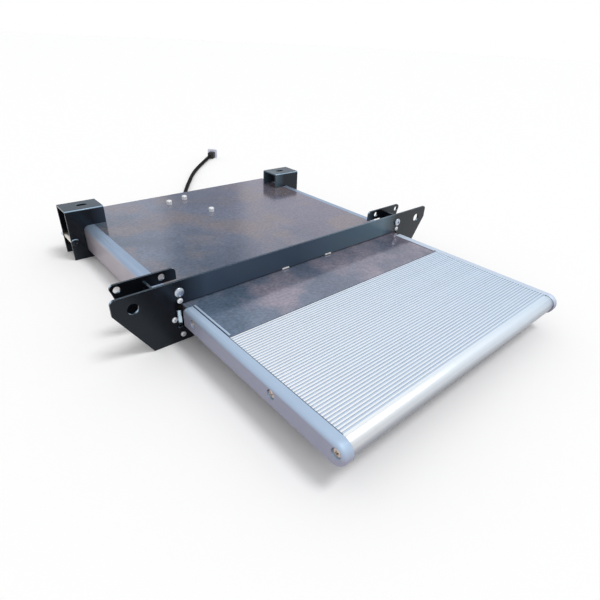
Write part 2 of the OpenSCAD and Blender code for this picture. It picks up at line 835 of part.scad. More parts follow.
// Plastic shoe that fills the rail's channel
module shoe(y0) {
    low = rail_clear + rail_floor + slide_gap;
    high = lip_z - slide_gap;
    out = rail_in - slide_gap;
    edge = rail_in_r - 1;
    color("#1d1e20") along_y(y0, y0 + shoe_d)
        polygon([[half_w, low], [out - edge, low], [out, low + edge], [out, high - edge],
            [out - edge, high], [half_w, high]]);
}

// Plate that takes the pull of the belt to the rear crossbar
module drive_arm() {
    color("#9aa3ab") difference() {
        block([arm_x[0], y_deck - 20, arm_z], [arm_x[1], clamp_y + clamp_d + 2, step_bot]);
        arm_screw_holes();
    }
}

module arm_screw_holes() {
    for (y = arm_screws_y) translate([arm_screw_x, y, arm_z - 1])
        cylinder(d = screw_d + 2 * screw_gap, h = arm_t + 4);
}

module arm_screws() {
    color("silver") for (y = arm_screws_y) translate([arm_screw_x, y, arm_z]) {
        cylinder(d = screw_d, h = arm_t + 2.5);
        translate([0, 0, -low_head_h]) cylinder(d = screw_head, h = low_head_h);
    }
}

module belt_clamp() {
    color("#6d7278") difference() {
        block([run_x - 6, clamp_y, belt_z - 1], [run_x + 6, clamp_y + clamp_d, arm_z]);
        block([run_x - belt_t / 2 - screw_gap, clamp_y - 1, belt_z - screw_gap],
            [run_x + belt_t / 2 + screw_gap, clamp_y + clamp_d + 1, belt_z + belt_w + screw_gap]);
    }
}

// Toothed pulley with two flanges
module pulley(y, bore) {
    translate([shaft_x, y, pulley_z]) difference() {
        union() {
            translate([0, 0, flange_t / 2]) linear_extrude(pulley_h - flange_t) difference() {
                circle(pulley_r);
                for (i = [0 : pulley_teeth - 1]) rotate(360 * i / pulley_teeth)
                    translate([pulley_r, 0]) circle(groove_r, $fn = 12);
            }
            for (z = [0, pulley_h - flange_t]) translate([0, 0, z]) cylinder(r = flange_r, h = flange_t);
        }
        translate([0, 0, -1]) cylinder(d = bore, h = pulley_h + 2);
    }
}

module drive_pulley() {
    color("#c8ccd0") pulley(shaft_y, shaft_d + 2 * screw_gap);
}

module output_shaft() {
    foot = pulley_z + 1;
    color("silver") translate([shaft_x, shaft_y, foot])
        cylinder(d = shaft_d, h = gear_z + shaft_in - foot);
}

module idler_pulley() {
    color("#c8ccd0") pulley(idler_y, bush_d);
}

module idler_bush() {
    color("#b08d57") translate([shaft_x, idler_y, pulley_z - 0.3]) difference() {
        cylinder(d = bush_d - run_gap, h = pulley_h + 0.5);
        translate([0, 0, -1]) cylinder(d = idler_pin_d + 2 * run_gap, h = pulley_h + 3);
    }
}

module hanger_left() { mirror([1, 0, 0]) hanger(); }
module hanger_right() { hanger(); }
module rail_left() { mirror([1, 0, 0]) rail(); }
module rail_right() { rail(); }
module rear_bracket_left() { mirror([1, 0, 0]) rear_bracket(); }
module rear_bracket_right() { rear_bracket(); }
module trim_left() { mirror([1, 0, 0]) trim(); }
module trim_right() { trim(); }
module trim_screws_left() { mirror([1, 0, 0]) trim_screws(); }
module trim_screws_right() { trim_screws(); }
module slide_bar_left() { mirror([1, 0, 0]) slide_bar(); }
module slide_bar_right() { slide_bar(); }
module shoe_front_left() { mirror([1, 0, 0]) shoe(shoes_y[0]); }
module shoe_front_right() { shoe(shoes_y[0]); }
module shoe_rear_left() { mirror([1, 0, 0]) shoe(shoes_y[1]); }
module shoe_rear_right() { shoe(shoes_y[1]); }

front_plate();
hanger_left();
hanger_right();
rail_left();
rail_right();
top_cover();
rear_panel();
rear_bracket_left();
rear_bracket_right();
bracket_sleeves();
bracket_bolts();
bracket_nuts();
plate_bolts();
plate_nuts();
plate_screws();
panel_screws();
glide_pads();
gearbox();
motor_can();
motor_terminal();
motor_bolts();
front_tie();
tie_screws();
idler_pin();
drive_belt();
cable_gland();
cable();
connector_body();
connector_flange();
tread();
deck();
trim_left();
trim_right();
trim_screws_left();
trim_screws_right();
slide_bar_left();
slide_bar_right();
crossbar_rear();
crossbar_mid();
shoe_front_left();
shoe_front_right();
shoe_rear_left();
shoe_rear_right();
drive_arm();
belt_clamp();
arm_screws();
drive_pulley();
output_shaft();
idler_pulley();
idler_bush();
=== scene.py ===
"""Looks of an electric slide-out camper step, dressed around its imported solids."""

import logging
import math
from dataclasses import dataclass, field
from enum import Enum

import bmesh
import bpy
from mathutils import Matrix, Vector


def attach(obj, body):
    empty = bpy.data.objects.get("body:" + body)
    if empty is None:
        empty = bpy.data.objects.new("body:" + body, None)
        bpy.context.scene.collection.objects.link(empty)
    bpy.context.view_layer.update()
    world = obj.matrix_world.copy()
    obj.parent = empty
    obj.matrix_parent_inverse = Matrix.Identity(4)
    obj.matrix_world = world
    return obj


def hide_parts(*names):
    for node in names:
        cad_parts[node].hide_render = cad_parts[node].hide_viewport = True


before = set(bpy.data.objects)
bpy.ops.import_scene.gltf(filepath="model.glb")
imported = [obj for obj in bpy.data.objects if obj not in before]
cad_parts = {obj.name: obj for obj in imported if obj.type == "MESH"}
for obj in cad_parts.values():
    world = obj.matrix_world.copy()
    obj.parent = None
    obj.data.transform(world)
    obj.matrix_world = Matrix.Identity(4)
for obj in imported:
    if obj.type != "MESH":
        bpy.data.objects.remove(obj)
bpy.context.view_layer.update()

LOG = logging.getLogger("slide_out_step")
MM = 0.001
SMOOTH_ANGLE = math.radians(32)

Point = tuple[float, float, float]
Colour = tuple[float, float, float]
Span = tuple[float, float]
Socket = bpy.types.NodeSocket
Sockets = bpy.types.bpy_prop_collection


class Body(Enum):
    """Bodies of the step that pieces ride on."""

    CASING = "casing"
    STEP = "step"


class Axis(Enum):
    """Direction in which a profile was drawn."""

    X = 0
    Y = 1


# Shader node helpers


class NodeSheet:
    """A node tree with short calls to add and join nodes.

    Attributes:
        mix_inputs: Numbers of a mix node's inputs for the share and the two colours.
        mix_output: Number of its output for the mixed colour.
    """

    mix_inputs = (0, 6, 7)
    mix_output = 2

    def __init__(self, tree: bpy.types.NodeTree) -> None:
        """Keep the tree of a material, a world or a group."""
        self.tree = tree

    def add(self, kind: str, **inputs: object) -> bpy.types.Node:
        """Add a node and set or join its inputs.

        Args:
            kind: Blender's name of the node's type.
            **inputs: Values or sockets by input name, with _ for a space.

        Returns:
            The new node.
        """
        node = self.tree.nodes.new(kind)
        for name, value in inputs.items():
            self.feed(node.inputs[name.replace("_", " ")], value)
        return node

    def feed(self, socket: Socket, value: object) -> None:
        """Join a socket to another, or set it to a constant.

        Args:
            socket: Input to fill.
            value: Output socket, number, vector or colour.
        """
        if isinstance(value, bpy.types.NodeSocket):
            self.tree.links.new(value, socket)
        elif isinstance(value, tuple) and socket.type == "RGBA":
            socket.default_value = (*value, 1.0)
        else:
            socket.default_value = value

    def reckon(self, kind: str, operation: str, values: tuple[object, ...]) -> bpy.types.Node:
        """Add a node that reckons.

        Args:
            kind: Blender's name of the node's type.
            operation: Blender's name of the sum.
            values: Sockets or constants, in the order of the node's inputs.

        Returns:
            The new node.
        """
        node = self.tree.nodes.new(kind)
        node.operation = operation
        for socket, value in zip(node.inputs, values):
            self.feed(socket, value)
        return node

    def math(self, operation: str, *values: object) -> Socket:
        """Return the result of a sum of numbers."""
        return self.reckon("ShaderNodeMath", operation, values).outputs["Value"]

    def vector(self, operation: str, *values: object, result: str = "Vector") -> Socket:
        """Return the result of a sum of vectors, which is a Vector or a Value."""
        return self.reckon("ShaderNodeVectorMath", operation, values).outputs[result]

    def noise(self, vector: Socket, scale: object, detail: float, twist: float = 0.0) -> Sockets:
        """Return the outputs of a noise with that number of finer layers, distorted by the twist."""
        return self.add("ShaderNodeTexNoise", Vector=vector, Scale=scale, Detail=detail, Distortion=twist).outputs

    def split(self, vector: Socket) -> Sockets:
        """Return the X, Y and Z of a vector."""
        return self.add("ShaderNodeSeparateXYZ", Vector=vector).outputs

    def rise(self) -> Socket:
        """Return how far the surface looks up, from -1 to 1."""
        return self.split(self.add("ShaderNodeNewGeometry").outputs["Normal"])["Z"]

    def band(self, value: Socket, start: object, end: object, low: object = 0.0, high: object = 1.0) -> Socket:
        """Return a value mapped from start and end to low and high, and held at both ends."""
        node = self.add("ShaderNodeMapRange", Value=value, From_Min=start, From_Max=end, To_Min=low, To_Max=high)
        return node.outputs["Result"]

    def spread(self, value: Socket, span: Span) -> Socket:
        """Return a 0 to 1 value mapped to a span."""
        return self.band(value, 0.0, 1.0, *span)

    def mix(self, share: object, low: object, high: object) -> Socket:
        """Mix two colours.

        Args:
            share: Socket or number from 0 to 1.
            low: Colour at 0.
            high: Colour at 1.

        Returns:
            The mixed colour.
        """
        node = self.tree.nodes.new("ShaderNodeMix")
        node.data_type = "RGBA"
        for index, value in zip(self.mix_inputs, (share, low, high)):
            self.feed(node.inputs[index], value)
        return node.outputs[self.mix_output]


class SurfaceSheet(NodeSheet):
    """Tree of a material, with its shader and the place on the piece."""

    def __init__(self, made: bpy.types.Material) -> None:
        """Start the material with a shader, its output and object coordinates.

        Args:
            made: Material whose nodes are made anew.
        """
        made.use_nodes = True
        super().__init__(made.node_tree)
        self.tree.nodes.clear()
        self.shader = self.add("ShaderNodeBsdfPrincipled")
        self.add("ShaderNodeOutputMaterial", Surface=self.shader.outputs[0])
        self.place = self.add("ShaderNodeTexCoord").outputs["Object"]

    def paint(self, **inputs: object) -> None:
        """Set or join inputs of the shader, by name with _ for a space."""
        for name, value in inputs.items():
            self.feed(self.shader.inputs[name.replace("_", " ")], value)

    def painted(self, name: str) -> Socket:
        """Return the socket that feeds the shader's input of that name so far."""
        return self.shader.inputs[name].links[0].from_socket

    def bump(self, height: Socket, relief: float) -> None:
        """Feed a height from 0 to 1, of that relief in metres, to the shader's normal."""
        node = self.add("ShaderNodeBump", Height=height, Distance=relief, Strength=1.0)
        self.paint(Normal=node.outputs["Normal"])


FLOAT, RGB, XYZ = "NodeSocketFloat", "NodeSocketColor", "NodeSocketVector"
PLACE, TINT = (XYZ, None), (RGB, None)


def number(value: float) -> tuple[str, float]:
    """Return the kind and default of a group's number input."""
    return FLOAT, value


def limits(span: Span) -> dict[str, float]:
    """Return a span as values of a group's Low and High."""
    return {"Low": span[0], "High": span[1]}


class ShaderGroup:
    """A node group with named sockets, built once and placed in several materials.

    Attributes:
        name: Name of the group.
        inputs: Kind and default of each input.
        outputs: Kind of each output.
    """

    name: str
    inputs: dict[str, tuple[str, object]]
    outputs: dict[str, str]

    def tree(self) -> bpy.types.NodeTree:
        """Build the group on the first call.

        Returns:
            The group's tree.
        """
        found = bpy.data.node_groups.get(self.name)
        if found is not None:
            return found
        made = bpy.data.node_groups.new(self.name, "ShaderNodeTree")
        for name, (kind, value) in self.inputs.items():
            socket = made.interface.new_socket(name, in_out="INPUT", socket_type=kind)
            if value is not None:
                socket.default_value = value
        for name, kind in self.outputs.items():
            made.interface.new_socket(name, in_out="OUTPUT", socket_type=kind)
        self.sheet = NodeSheet(made)
        self.given = self.sheet.add("NodeGroupInput").outputs
        self.result = self.sheet.add("NodeGroupOutput").inputs
        self.wire()
        return made

    def wire(self) -> None:
        """Join the group's inputs to its outputs."""
        raise NotImplementedError

    def give(self, **results: Socket) -> None:
        """Feed the group's outputs, by name."""
        for name, value in results.items():
            self.sheet.feed(self.result[name], value)

    def put(self, sheet: SurfaceSheet, **inputs: object) -> Sockets:
        """Put the group into a material.

        Args:
            sheet: Tree of the material, whose place goes to the group's Vector.
            **inputs: Values or sockets by input name.

        Returns:
            The outputs of the placed group.
        """
        node = sheet.tree.nodes.new("ShaderNodeGroup")
        node.node_tree = self.tree()
        if "Vector" in self.inputs:
            sheet.feed(node.inputs["Vector"], sheet.place)
        for name, value in inputs.items():
            sheet.feed(node.inputs[name], value)
        return node.outputs


class TwoTone(ShaderGroup):
    """Change between two colours, as a value goes from Low to High."""

    outputs = {"Color": RGB}
    tones = {"First": TINT, "Second": TINT}

    def value(self) -> Socket:
        """Return the value that mixes the colours."""
        raise NotImplementedError

    def wire(self) -> None:
        """The value's share of the way from Low to High mixes the colours."""
        share = self.sheet.band(self.value(), self.given["Low"], self.given["High"])
        self.give(Color=self.sheet.mix(share, self.given["First"], self.given["Second"]))


class CloudyTint(TwoTone):
    """Slow drift between two colours, as on rolled sheet or a sprayed coat."""

    name = "cloudy_tint"
    inputs = {"Vector": PLACE, **TwoTone.tones, "Scale": number(5.0), "Low": number(0.3), "High": number(0.7)}

    def value(self) -> Socket:
        """Return slow noise."""
        return self.sheet.noise(self.given["Vector"], self.given["Scale"], detail=3.0)["Fac"]


class UpwardLight(TwoTone):
    """Painted light on what faces up, and painted shade on the lower faces."""

    name = "upward_painted_light"
    inputs = {**TwoTone.tones, "Low": number(-0.05), "High": number(0.75)}

    def value(self) -> Socket:
        """Return the rise of the surface."""
        return self.sheet.rise()


class SideLight(TwoTone):
    """Painted light and shade: slow change of tone from the left of the step to its right."""

    name = "side_painted_light"
    inputs = {"Vector": PLACE, **TwoTone.tones, "Low": number(-0.22), "High": number(0.22)}

    def value(self) -> Socket:
        """Return the place across the step."""
        return self.sheet.split(self.given["Vector"])["X"]


class FineGrain(ShaderGroup):
    """Small bumps and the gloss that varies with them."""

    name = "fine_grain"
    inputs = {"Vector": PLACE, "Scale": number(900.0), "Low": number(0.3), "High": number(0.4)}
    outputs = {"Height": FLOAT, "Roughness": FLOAT}
    slow = 0.03
    contrast = (0.3, 0.7)

    def wire(self) -> None:
        """Fine noise gives the height; slow noise gives the gloss."""
        sheet, given = self.sheet, self.given
        fine = sheet.noise(given["Vector"], given["Scale"], detail=2.0)["Fac"]
        scale = sheet.math("MULTIPLY", given["Scale"], self.slow)
        drift = sheet.noise(given["Vector"], scale, detail=4.0)["Fac"]
        self.give(Height=fine, Roughness=sheet.band(drift, *self.contrast, given["Low"], given["High"]))


class DrawnLines(ShaderGroup):
    """Long fine lines along one axis, left by a die, a roller or a brush."""

    name = "drawn_lines"
    inputs = {"Vector": PLACE, "Stretch": (XYZ, (1.0, 0.01, 1.0)), "Scale": number(600.0)}
    outputs = {"Height": FLOAT, "Mask": FLOAT}
    contrast = (0.35, 0.65)

    def wire(self) -> None:
        """Noise on a stretched vector, with a contrast mask of the same lines."""
        sheet, given = self.sheet, self.given
        stretched = sheet.vector("MULTIPLY", given["Vector"], given["Stretch"])
        lines = sheet.noise(stretched, given["Scale"], detail=3.0)["Fac"]
        self.give(Height=lines, Mask=sheet.band(lines, *self.contrast))


class ZincSpangle(ShaderGroup):
    """Crystals of a hot-dip zinc coat: soft-edged flakes of slightly different tone."""

    name = "zinc_spangle"
    inputs = {"Vector": PLACE, "Scale": number(90.0)}
    outputs = {"Tone": FLOAT}
    warp_scale = 60.0
    warp = (0.012, 0.012, 0.012)
    softness = 0.35

    def wire(self) -> None:
        """Soft Voronoi cells on a warped vector."""
        sheet, given = self.sheet, self.given
        swirl = sheet.noise(given["Vector"], self.warp_scale, detail=2.0)["Color"]
        moved = sheet.vector("MULTIPLY_ADD", swirl, self.warp, given["Vector"])
        cells = sheet.add("ShaderNodeTexVoronoi", Vector=moved, Scale=given["Scale"])
        cells.feature = "SMOOTH_F1"
        cells.inputs["Smoothness"].default_value = self.softness
        self.give(Tone=sheet.add("ShaderNodeSeparateColor", Color=cells.outputs["Color"]).outputs["Red"])


class HandlingMarks(ShaderGroup):
    """Sparse smears where hands and rags have been."""

    name = "handling_marks"
    inputs = {"Vector": PLACE, "Scale": number(14.0), "Amount": number(0.5)}
    outputs = {"Mask": FLOAT}
    peaks = (0.52, 0.75)

    def wire(self) -> None:
        """Warped noise, cut so that only its peaks show."""
        sheet, given = self.sheet, self.given
        smears = sheet.noise(given["Vector"], given["Scale"], detail=6.0, twist=1.2)["Fac"]
        self.give(Mask=sheet.band(smears, *self.peaks, 0.0, given["Amount"]))


class BendGlint(ShaderGroup):
    """Painted highlight on bends and edges that face up."""

    name = "bend_painted_glint"
    inputs = {"Low": number(0.3), "Glint": number(0.7), "Still": number(0.8), "High": number(0.96)}
    outputs = {"Mask": FLOAT}

    def wire(self) -> None:
        """One for a rise between Rubbed and Still, falling off softly to Low and High."""
        sheet, given = self.sheet, self.given
        rise = sheet.rise()
        up, down = sheet.band(rise, given["Low"], given["Glint"]), sheet.band(rise, given["High"], given["Still"])
        self.give(Mask=sheet.math("MULTIPLY", up, down))


class BeamSheen(ShaderGroup):
    """Greyish painted sheen on the coat between the ears."""

    name = "beam_painted_sheen"
    inputs = {"Vector": PLACE, "Reach": number(0.172), "End": number(0.208), "Foot": number(0.054)}
    outputs = {"Mask": FLOAT}

    def wire(self) -> None:
        """One within Reach of the middle and above the Foot, falling to nothing at the End."""
        sheet, given = self.sheet, self.given
        place = sheet.split(given["Vector"])
        across = sheet.band(sheet.math("ABSOLUTE", place["X"]), given["End"], given["Reach"])
        above = sheet.math("GREATER_THAN", place["Z"], given["Foot"])
        self.give(Mask=sheet.math("MULTIPLY", across, above))


class GrooveShade(ShaderGroup):
    """Mask of the painted shade in the grooves between the tread's ribs: low there, and behind the nose."""

    name = "groove_shade"
    inputs = {"Vector": PLACE, "Floor": number(0.0518), "Crest": number(0.0528), "Start": number(-0.3235),
              "Base": number(0.0505)}
    outputs = {"Mask": FLOAT}

    def wire(self) -> None:
        """One less the height over the groove's floor, kept behind the nose and above the Base."""
        sheet, given = self.sheet, self.given
        place = sheet.split(given["Vector"])
        depth = sheet.band(place["Z"], given["Floor"], given["Crest"], 1.0, 0.0)
        behind = sheet.math("GREATER_THAN", place["Y"], given["Start"])
        above = sheet.math("GREATER_THAN", place["Z"], given["Base"])
        self.give(Mask=sheet.math("MULTIPLY", depth, sheet.math("MULTIPLY", behind, above)))


CLOUDS, GRAIN, LINES = CloudyTint(), FineGrain(), DrawnLines()
SPANGLE, MARKS, UPWARD_LIGHT, GROOVES = ZincSpangle(), HandlingMarks(), UpwardLight(), GrooveShade()
BEND_GLINT, BEAM_SHEEN, SIDE_LIGHT = BendGlint(), BeamSheen(), SideLight()


# Finishes


@dataclass(frozen=True)
class Finish:
    """What a surface is made of, and how it is dressed.

    Attributes:
        name: Name of the material.
        slot: The record's material slot, not used here.
        dark: Colour in the darker drifts.
        light: Colour in the lighter drifts.
        metallic: 1 for bare metal.
        gloss: Lowest and highest roughness.
        drift: Scale of the slow colour drift, per metre.
        grain: Scale of the fine bumps, per metre.
        relief: Height of the fine bumps, in metres.
    """

    name: str
    slot: str
    dark: Colour
    light: Colour
    metallic: float = 0.0
    gloss: Span = (0.4, 0.5)
    drift: float = 6.0
    grain: float = 900.0
    relief: float = 0.00002

    def material(self) -> bpy.types.Material:
        """Build the material on the first call.

        Returns:
            The material.
        """
        title = f"{self.name}_finish"
        found = bpy.data.materials.get(title)
        if found is not None:
            return found
        made = bpy.data.materials.new(title)
        sheet = SurfaceSheet(made)
        sheet.paint(Metallic=self.metallic)
        self.dress(sheet)
        return made

    def dress(self, sheet: SurfaceSheet) -> None:
        """Give the shader its colour, gloss and bumps.

        Args:
            sheet: Tree of the material.
        """
        tint = CLOUDS.put(sheet, First=self.dark, Second=self.light, Scale=self.drift)
        grain = GRAIN.put(sheet, Scale=self.grain, **limits(self.gloss))
        sheet.paint(Base_Color=tint["Color"], Roughness=grain["Roughness"])
        sheet.bump(grain["Height"], self.relief)


@dataclass(frozen=True)
class Metal(Finish):
    """Bare or plated metal, even and fine."""

    metallic: float = 1.0
    drift: float = 160.0
    grain: float = 2600.0
    relief: float = 0.00001


@dataclass(frozen=True)
class PowderCoat(Finish):
    """Glossy powder coat with a slight orange peel and a few smears.

    Attributes:
        sheen: Strength of its gloss.
        cast: Tint of what it mirrors.
        smear: Scale of the smears, per metre, and how far they dull the gloss.
    """

    sheen: float = 0.36
    cast: Colour = (0.74, 0.88, 1.0)
    smear: Span = (22.0, 0.1)

    def dress(self, sheet: SurfaceSheet) -> None:
        """Coat with orange peel, and smears in its gloss.

        Args:
            sheet: Tree of the material.
        """
        super().dress(sheet)
        smears = MARKS.put(sheet, Scale=self.smear[0], Amount=self.smear[1])
        dulled = sheet.math("ADD", sheet.painted("Roughness"), smears["Mask"])
        sheet.paint(Roughness=dulled, Specular_IOR_Level=self.sheen, Specular_Tint=self.cast)


@dataclass(frozen=True)
class PlateCoat(PowderCoat):
    """Black coat of the plates, paler on top with dirt and painted light, with a painted highlight on its bends and a
    painted sheen on the beam.

    Attributes:
        bend_highlight: Colour of the painted highlight on the bends.
        dust_and_light: Colour of the faces that look up: settled dirt, with painted light from the sky.
        top_rise: Rise of the surface at which the pale top starts, and at which it is full.
        beam_sheen: Colour of the painted sheen on the beam, on the left.
        far_beam_sheen: Colour of the painted sheen on the beam, on the right.
        sheen_turn: Place across the step from which the painted sheen changes, in metres.
    """

    bend_highlight: Colour = (0.4, 0.55, 0.7)
    dust_and_light: Colour = (0.022, 0.036, 0.05)
    top_rise: Span = (0.9, 1.0)
    beam_sheen: Colour = (0.044, 0.067, 0.104)
    far_beam_sheen: Colour = (0.128, 0.2, 0.249)
    sheen_turn: float = -0.02

    def dress(self, sheet: SurfaceSheet) -> None:
        """Add the paler top, the painted sheen on the beam and the painted highlight on the bends to the coat.

        Args:
            sheet: Tree of the material.
        """
        super().dress(sheet)
        # Dirt with painted light: faces that look up take a paler bluish colour.
        dusted_and_lit = UPWARD_LIGHT.put(sheet, First=sheet.painted("Base Color"), Second=self.dust_and_light, **limits(self.top_rise))
        # Painted sheen: the beam between the ears takes a paler bluish colour, changing from left to right.
        beam_light = SIDE_LIGHT.put(sheet, First=self.beam_sheen, Second=self.far_beam_sheen, Low=self.sheen_turn)
        sheened = sheet.mix(BEAM_SHEEN.put(sheet)["Mask"], dusted_and_lit["Color"], beam_light["Color"])
        # Painted highlight: bends that face partly up take a pale bluish colour.
        sheet.paint(Base_Color=sheet.mix(BEND_GLINT.put(sheet)["Mask"], sheened, self.bend_highlight))


@dataclass(frozen=True)
class Galvanised(Finish):
    """Glossy galvanised sheet: faint spangle, cloudy stains, specks and fine rolling lines.

    Attributes:
        stain: Colour of the cloudy stains.
        far: Colour towards the right of the step, as painted light and shade.
        lacquer: Weight of the clear coat.
        sheen: Tint of what the zinc mirrors.
        mirror: Strength of what it mirrors.
        coat_gloss: Roughness of the clear coat.
        coat_ior: Refraction of the clear coat.
        clouds: Where the drifts of colour start and end in their noise.
        blots: Where the stains start and end in their noise.
        blot_scale: Scale of the stains, against that of the drifts.
        flake_tone: Share of the tone that the flakes give.
        speck_tone: Share of the tone that the specks give.
        speck_scale: Scale of the specks, against that of the flakes.
        speck_stretch: Stretch of the specks.
        rolling: Stretch of the rolling lines.
        rolling_scale: Scale of the rolling lines, per metre.
    """

    metallic: float = 0.25
    gloss: Span = (0.14, 0.2)
    grain: float = 150.0
    relief: float = 0.00001
    stain: Colour = (0.225, 0.197, 0.208)
    far: Colour = (0.185, 0.17, 0.235)
    lacquer: float = 0.5
    sheen: Colour = (1.0, 0.8, 0.86)
    mirror: float = 0.9
    coat_gloss: float = 0.1
    coat_ior: float = 1.55
    clouds: Span = (0.38, 0.62)
    blots: Span = (0.46, 0.66)
    blot_scale: float = 1.6
    flake_tone: Span = (0.42, 0.57)
    speck_tone: Span = (0.33, 0.67)
    speck_scale: float = 2.0
    speck_stretch: Point = (0.7, 1.0, 1.0)
    rolling: Point = (1.0, 0.02, 1.0)
    rolling_scale: float = 420.0

    def dress(self, sheet: SurfaceSheet) -> None:
        """Clouds, stains, spangle and painted light and shade from left to right tint the zinc; rolling lines and
        flakes roughen it.

        Args:
            sheet: Tree of the material.
        """
        tint = CLOUDS.put(sheet, First=self.dark, Second=self.light, Scale=self.drift, **limits(self.clouds))
        # Painted light and shade: the tone changes from the left of the step to its right.
        across = SIDE_LIGHT.put(sheet, First=tint["Color"], Second=self.far)
        stains = CLOUDS.put(sheet, First=across["Color"], Second=self.stain, Scale=self.blot_scale * self.drift,
                            **limits(self.blots))
        flakes = SPANGLE.put(sheet, Scale=self.grain)["Tone"]
        specks = LINES.put(sheet, Stretch=self.speck_stretch, Scale=self.speck_scale * self.grain)["Mask"]
        shade = sheet.math("ADD", sheet.spread(flakes, self.flake_tone), sheet.spread(specks, self.speck_tone))
        sheet.paint(Base_Color=sheet.vector("MULTIPLY", stains["Color"], shade),
                    Roughness=sheet.spread(flakes, self.gloss), Specular_IOR_Level=self.mirror,
                    Specular_Tint=self.sheen, Coat_Weight=self.lacquer, Coat_Roughness=self.coat_gloss,
                    Coat_IOR=self.coat_ior)
        rolled = LINES.put(sheet, Stretch=self.rolling, Scale=self.rolling_scale)
        sheet.bump(rolled["Height"], self.relief)


@dataclass(frozen=True)
class DrawnAluminium(Finish):
    """Satin anodised profile with die lines along its length.

    Attributes:
        along: Direction of the die lines.
        below: Painted shade: colour of the faces that look sideways or down.
        far: Colour of the faces that look up, towards the right of the step, as painted light and shade, or None for
            no change.
        crown: Rise of the surface from which a face counts as looking up.
        draw: Stretch of the die lines.
        satin: Scale of the change of gloss, per metre.
    """

    drift: float = 9.0
    grain: float = 700.0
    relief: float = 0.00001
    along: Axis = Axis.Y
    below: Colour = (0.3, 0.3, 0.36)
    far: Colour | None = None
    crown: float = 0.75
    draw: float = 0.006
    satin: float = 2200.0

    def dress(self, sheet: SurfaceSheet) -> None:
        """Die lines carry the bump, and fine grain the gloss.

        Args:
            sheet: Tree of the material.
        """
        stretch = tuple(self.draw if axis == self.along.value else 1.0 for axis in range(3))
        above = CLOUDS.put(sheet, First=self.dark, Second=self.light, Scale=self.drift)["Color"]
        # Painted light and shade: the tone of faces that look up changes from the left of the step to its right.
        if self.far is not None:
            above = SIDE_LIGHT.put(sheet, First=above, Second=self.far)["Color"]
        # Painted light and shade: paler on faces that look up, darker on faces that look sideways or down.
        lit_by_rise = UPWARD_LIGHT.put(sheet, First=self.below, Second=above, High=self.crown)
        lines = LINES.put(sheet, Stretch=stretch, Scale=self.grain)
        grain = GRAIN.put(sheet, Scale=self.satin, **limits(self.gloss))
        sheet.paint(Base_Color=lit_by_rise["Color"], Roughness=grain["Roughness"])
        sheet.bump(lines["Height"], self.relief)


@dataclass(frozen=True)
class RibbedTread(DrawnAluminium):
    """Bright drawn tread with painted shade in the grooves between the ribs.

    Attributes:
        groove: Colour of the painted shade in the grooves.
    """

    groove: Colour = (0.6, 0.71, 0.85)

    def dress(self, sheet: SurfaceSheet) -> None:
        """Add the painted shade of the grooves to the drawn finish."""
        super().dress(sheet)
        # Painted shade: the grooves between the ribs take a darker bluish colour.
        sheet.paint(Base_Color=sheet.mix(GROOVES.put(sheet)["Mask"], sheet.painted("Base Color"), self.groove))


BLACK_COAT = PlateCoat("black_powder_coat", "black_coat", (0.004, 0.0045, 0.007), (0.008, 0.009, 0.012),
                       gloss=(0.12, 0.18), drift=4.0, grain=420.0)
GALVANISED = Galvanised("galvanised_sheet", "galvanised_sheet", (0.07, 0.115, 0.165), (0.15, 0.205, 0.285), drift=8.0)
DECK_ZINC = Galvanised("galvanised_deck", "galvanised_sheet", (0.1, 0.16, 0.235), (0.185, 0.25, 0.35), drift=9.0,
                       far=(0.13, 0.13, 0.18), stain=(0.3, 0.27, 0.33))
RAIL = DrawnAluminium("anodised_rail", "rail_aluminium", (0.34, 0.44, 0.58), (0.4, 0.5, 0.65), metallic=0.6,
                      gloss=(0.34, 0.42), below=(0.39, 0.345, 0.38))
TRIM = DrawnAluminium("anodised_trim", "rail_aluminium", (0.43, 0.55, 0.71), (0.49, 0.62, 0.78), metallic=0.4,
                      gloss=(0.52, 0.6), below=(0.31, 0.31, 0.4), far=(0.62, 0.71, 0.84))
TREAD = RibbedTread("bright_tread", "tread_aluminium", (0.94, 0.97, 0.98), (0.98, 0.99, 1.0), metallic=0.25,
                    gloss=(0.3, 0.38), drift=12.0, grain=800.0, along=Axis.X, below=(0.26, 0.27, 0.31),
                    far=(0.72, 0.85, 0.98), crown=0.95)
ZINC = Metal("bright_zinc", "zinc", (0.5, 0.55, 0.62), (0.62, 0.66, 0.72), gloss=(0.22, 0.34))
WHITE_ZINC = Metal("white_zinc", "zinc", (0.78, 0.8, 0.84), (0.88, 0.9, 0.93), metallic=0.6, gloss=(0.35, 0.45))
YELLOW_ZINC = Metal("yellow_zinc", "yellow_zinc", (0.62, 0.52, 0.28), (0.78, 0.8, 0.84), metallic=0.9,
                    gloss=(0.25, 0.35), drift=90.0)
CAP_ZINC = Metal("pale_zinc", "zinc", (0.84, 0.85, 0.87), (0.92, 0.93, 0.95), metallic=0.15)
PASSIVATED = Metal("passivated_zinc", "zinc", (0.3, 0.23, 0.19), (0.78, 0.67, 0.59), metallic=0.5, gloss=(0.3, 0.4),
                   drift=220.0)
POLISHED = Metal("polished_aluminium", "rail_aluminium", (0.5, 0.64, 0.75), (0.6, 0.73, 0.83), metallic=0.9,
                 gloss=(0.16, 0.22), drift=90.0, grain=2200.0, relief=0.000005)
BRONZE = Metal("sintered_bronze", "bronze", (0.45, 0.3, 0.14), (0.58, 0.42, 0.22), gloss=(0.4, 0.55), drift=200.0,
               grain=3000.0, relief=0.00004)
CAST = Metal("die_cast_housing", "die_cast", (0.4, 0.41, 0.43), (0.52, 0.53, 0.55), gloss=(0.45, 0.6), drift=40.0,
             grain=1300.0, relief=0.00006)
MOTOR = PowderCoat("motor_paint", "motor_steel", (0.03, 0.031, 0.034), (0.045, 0.046, 0.05), gloss=(0.36, 0.46),
                   drift=30.0, grain=1100.0)
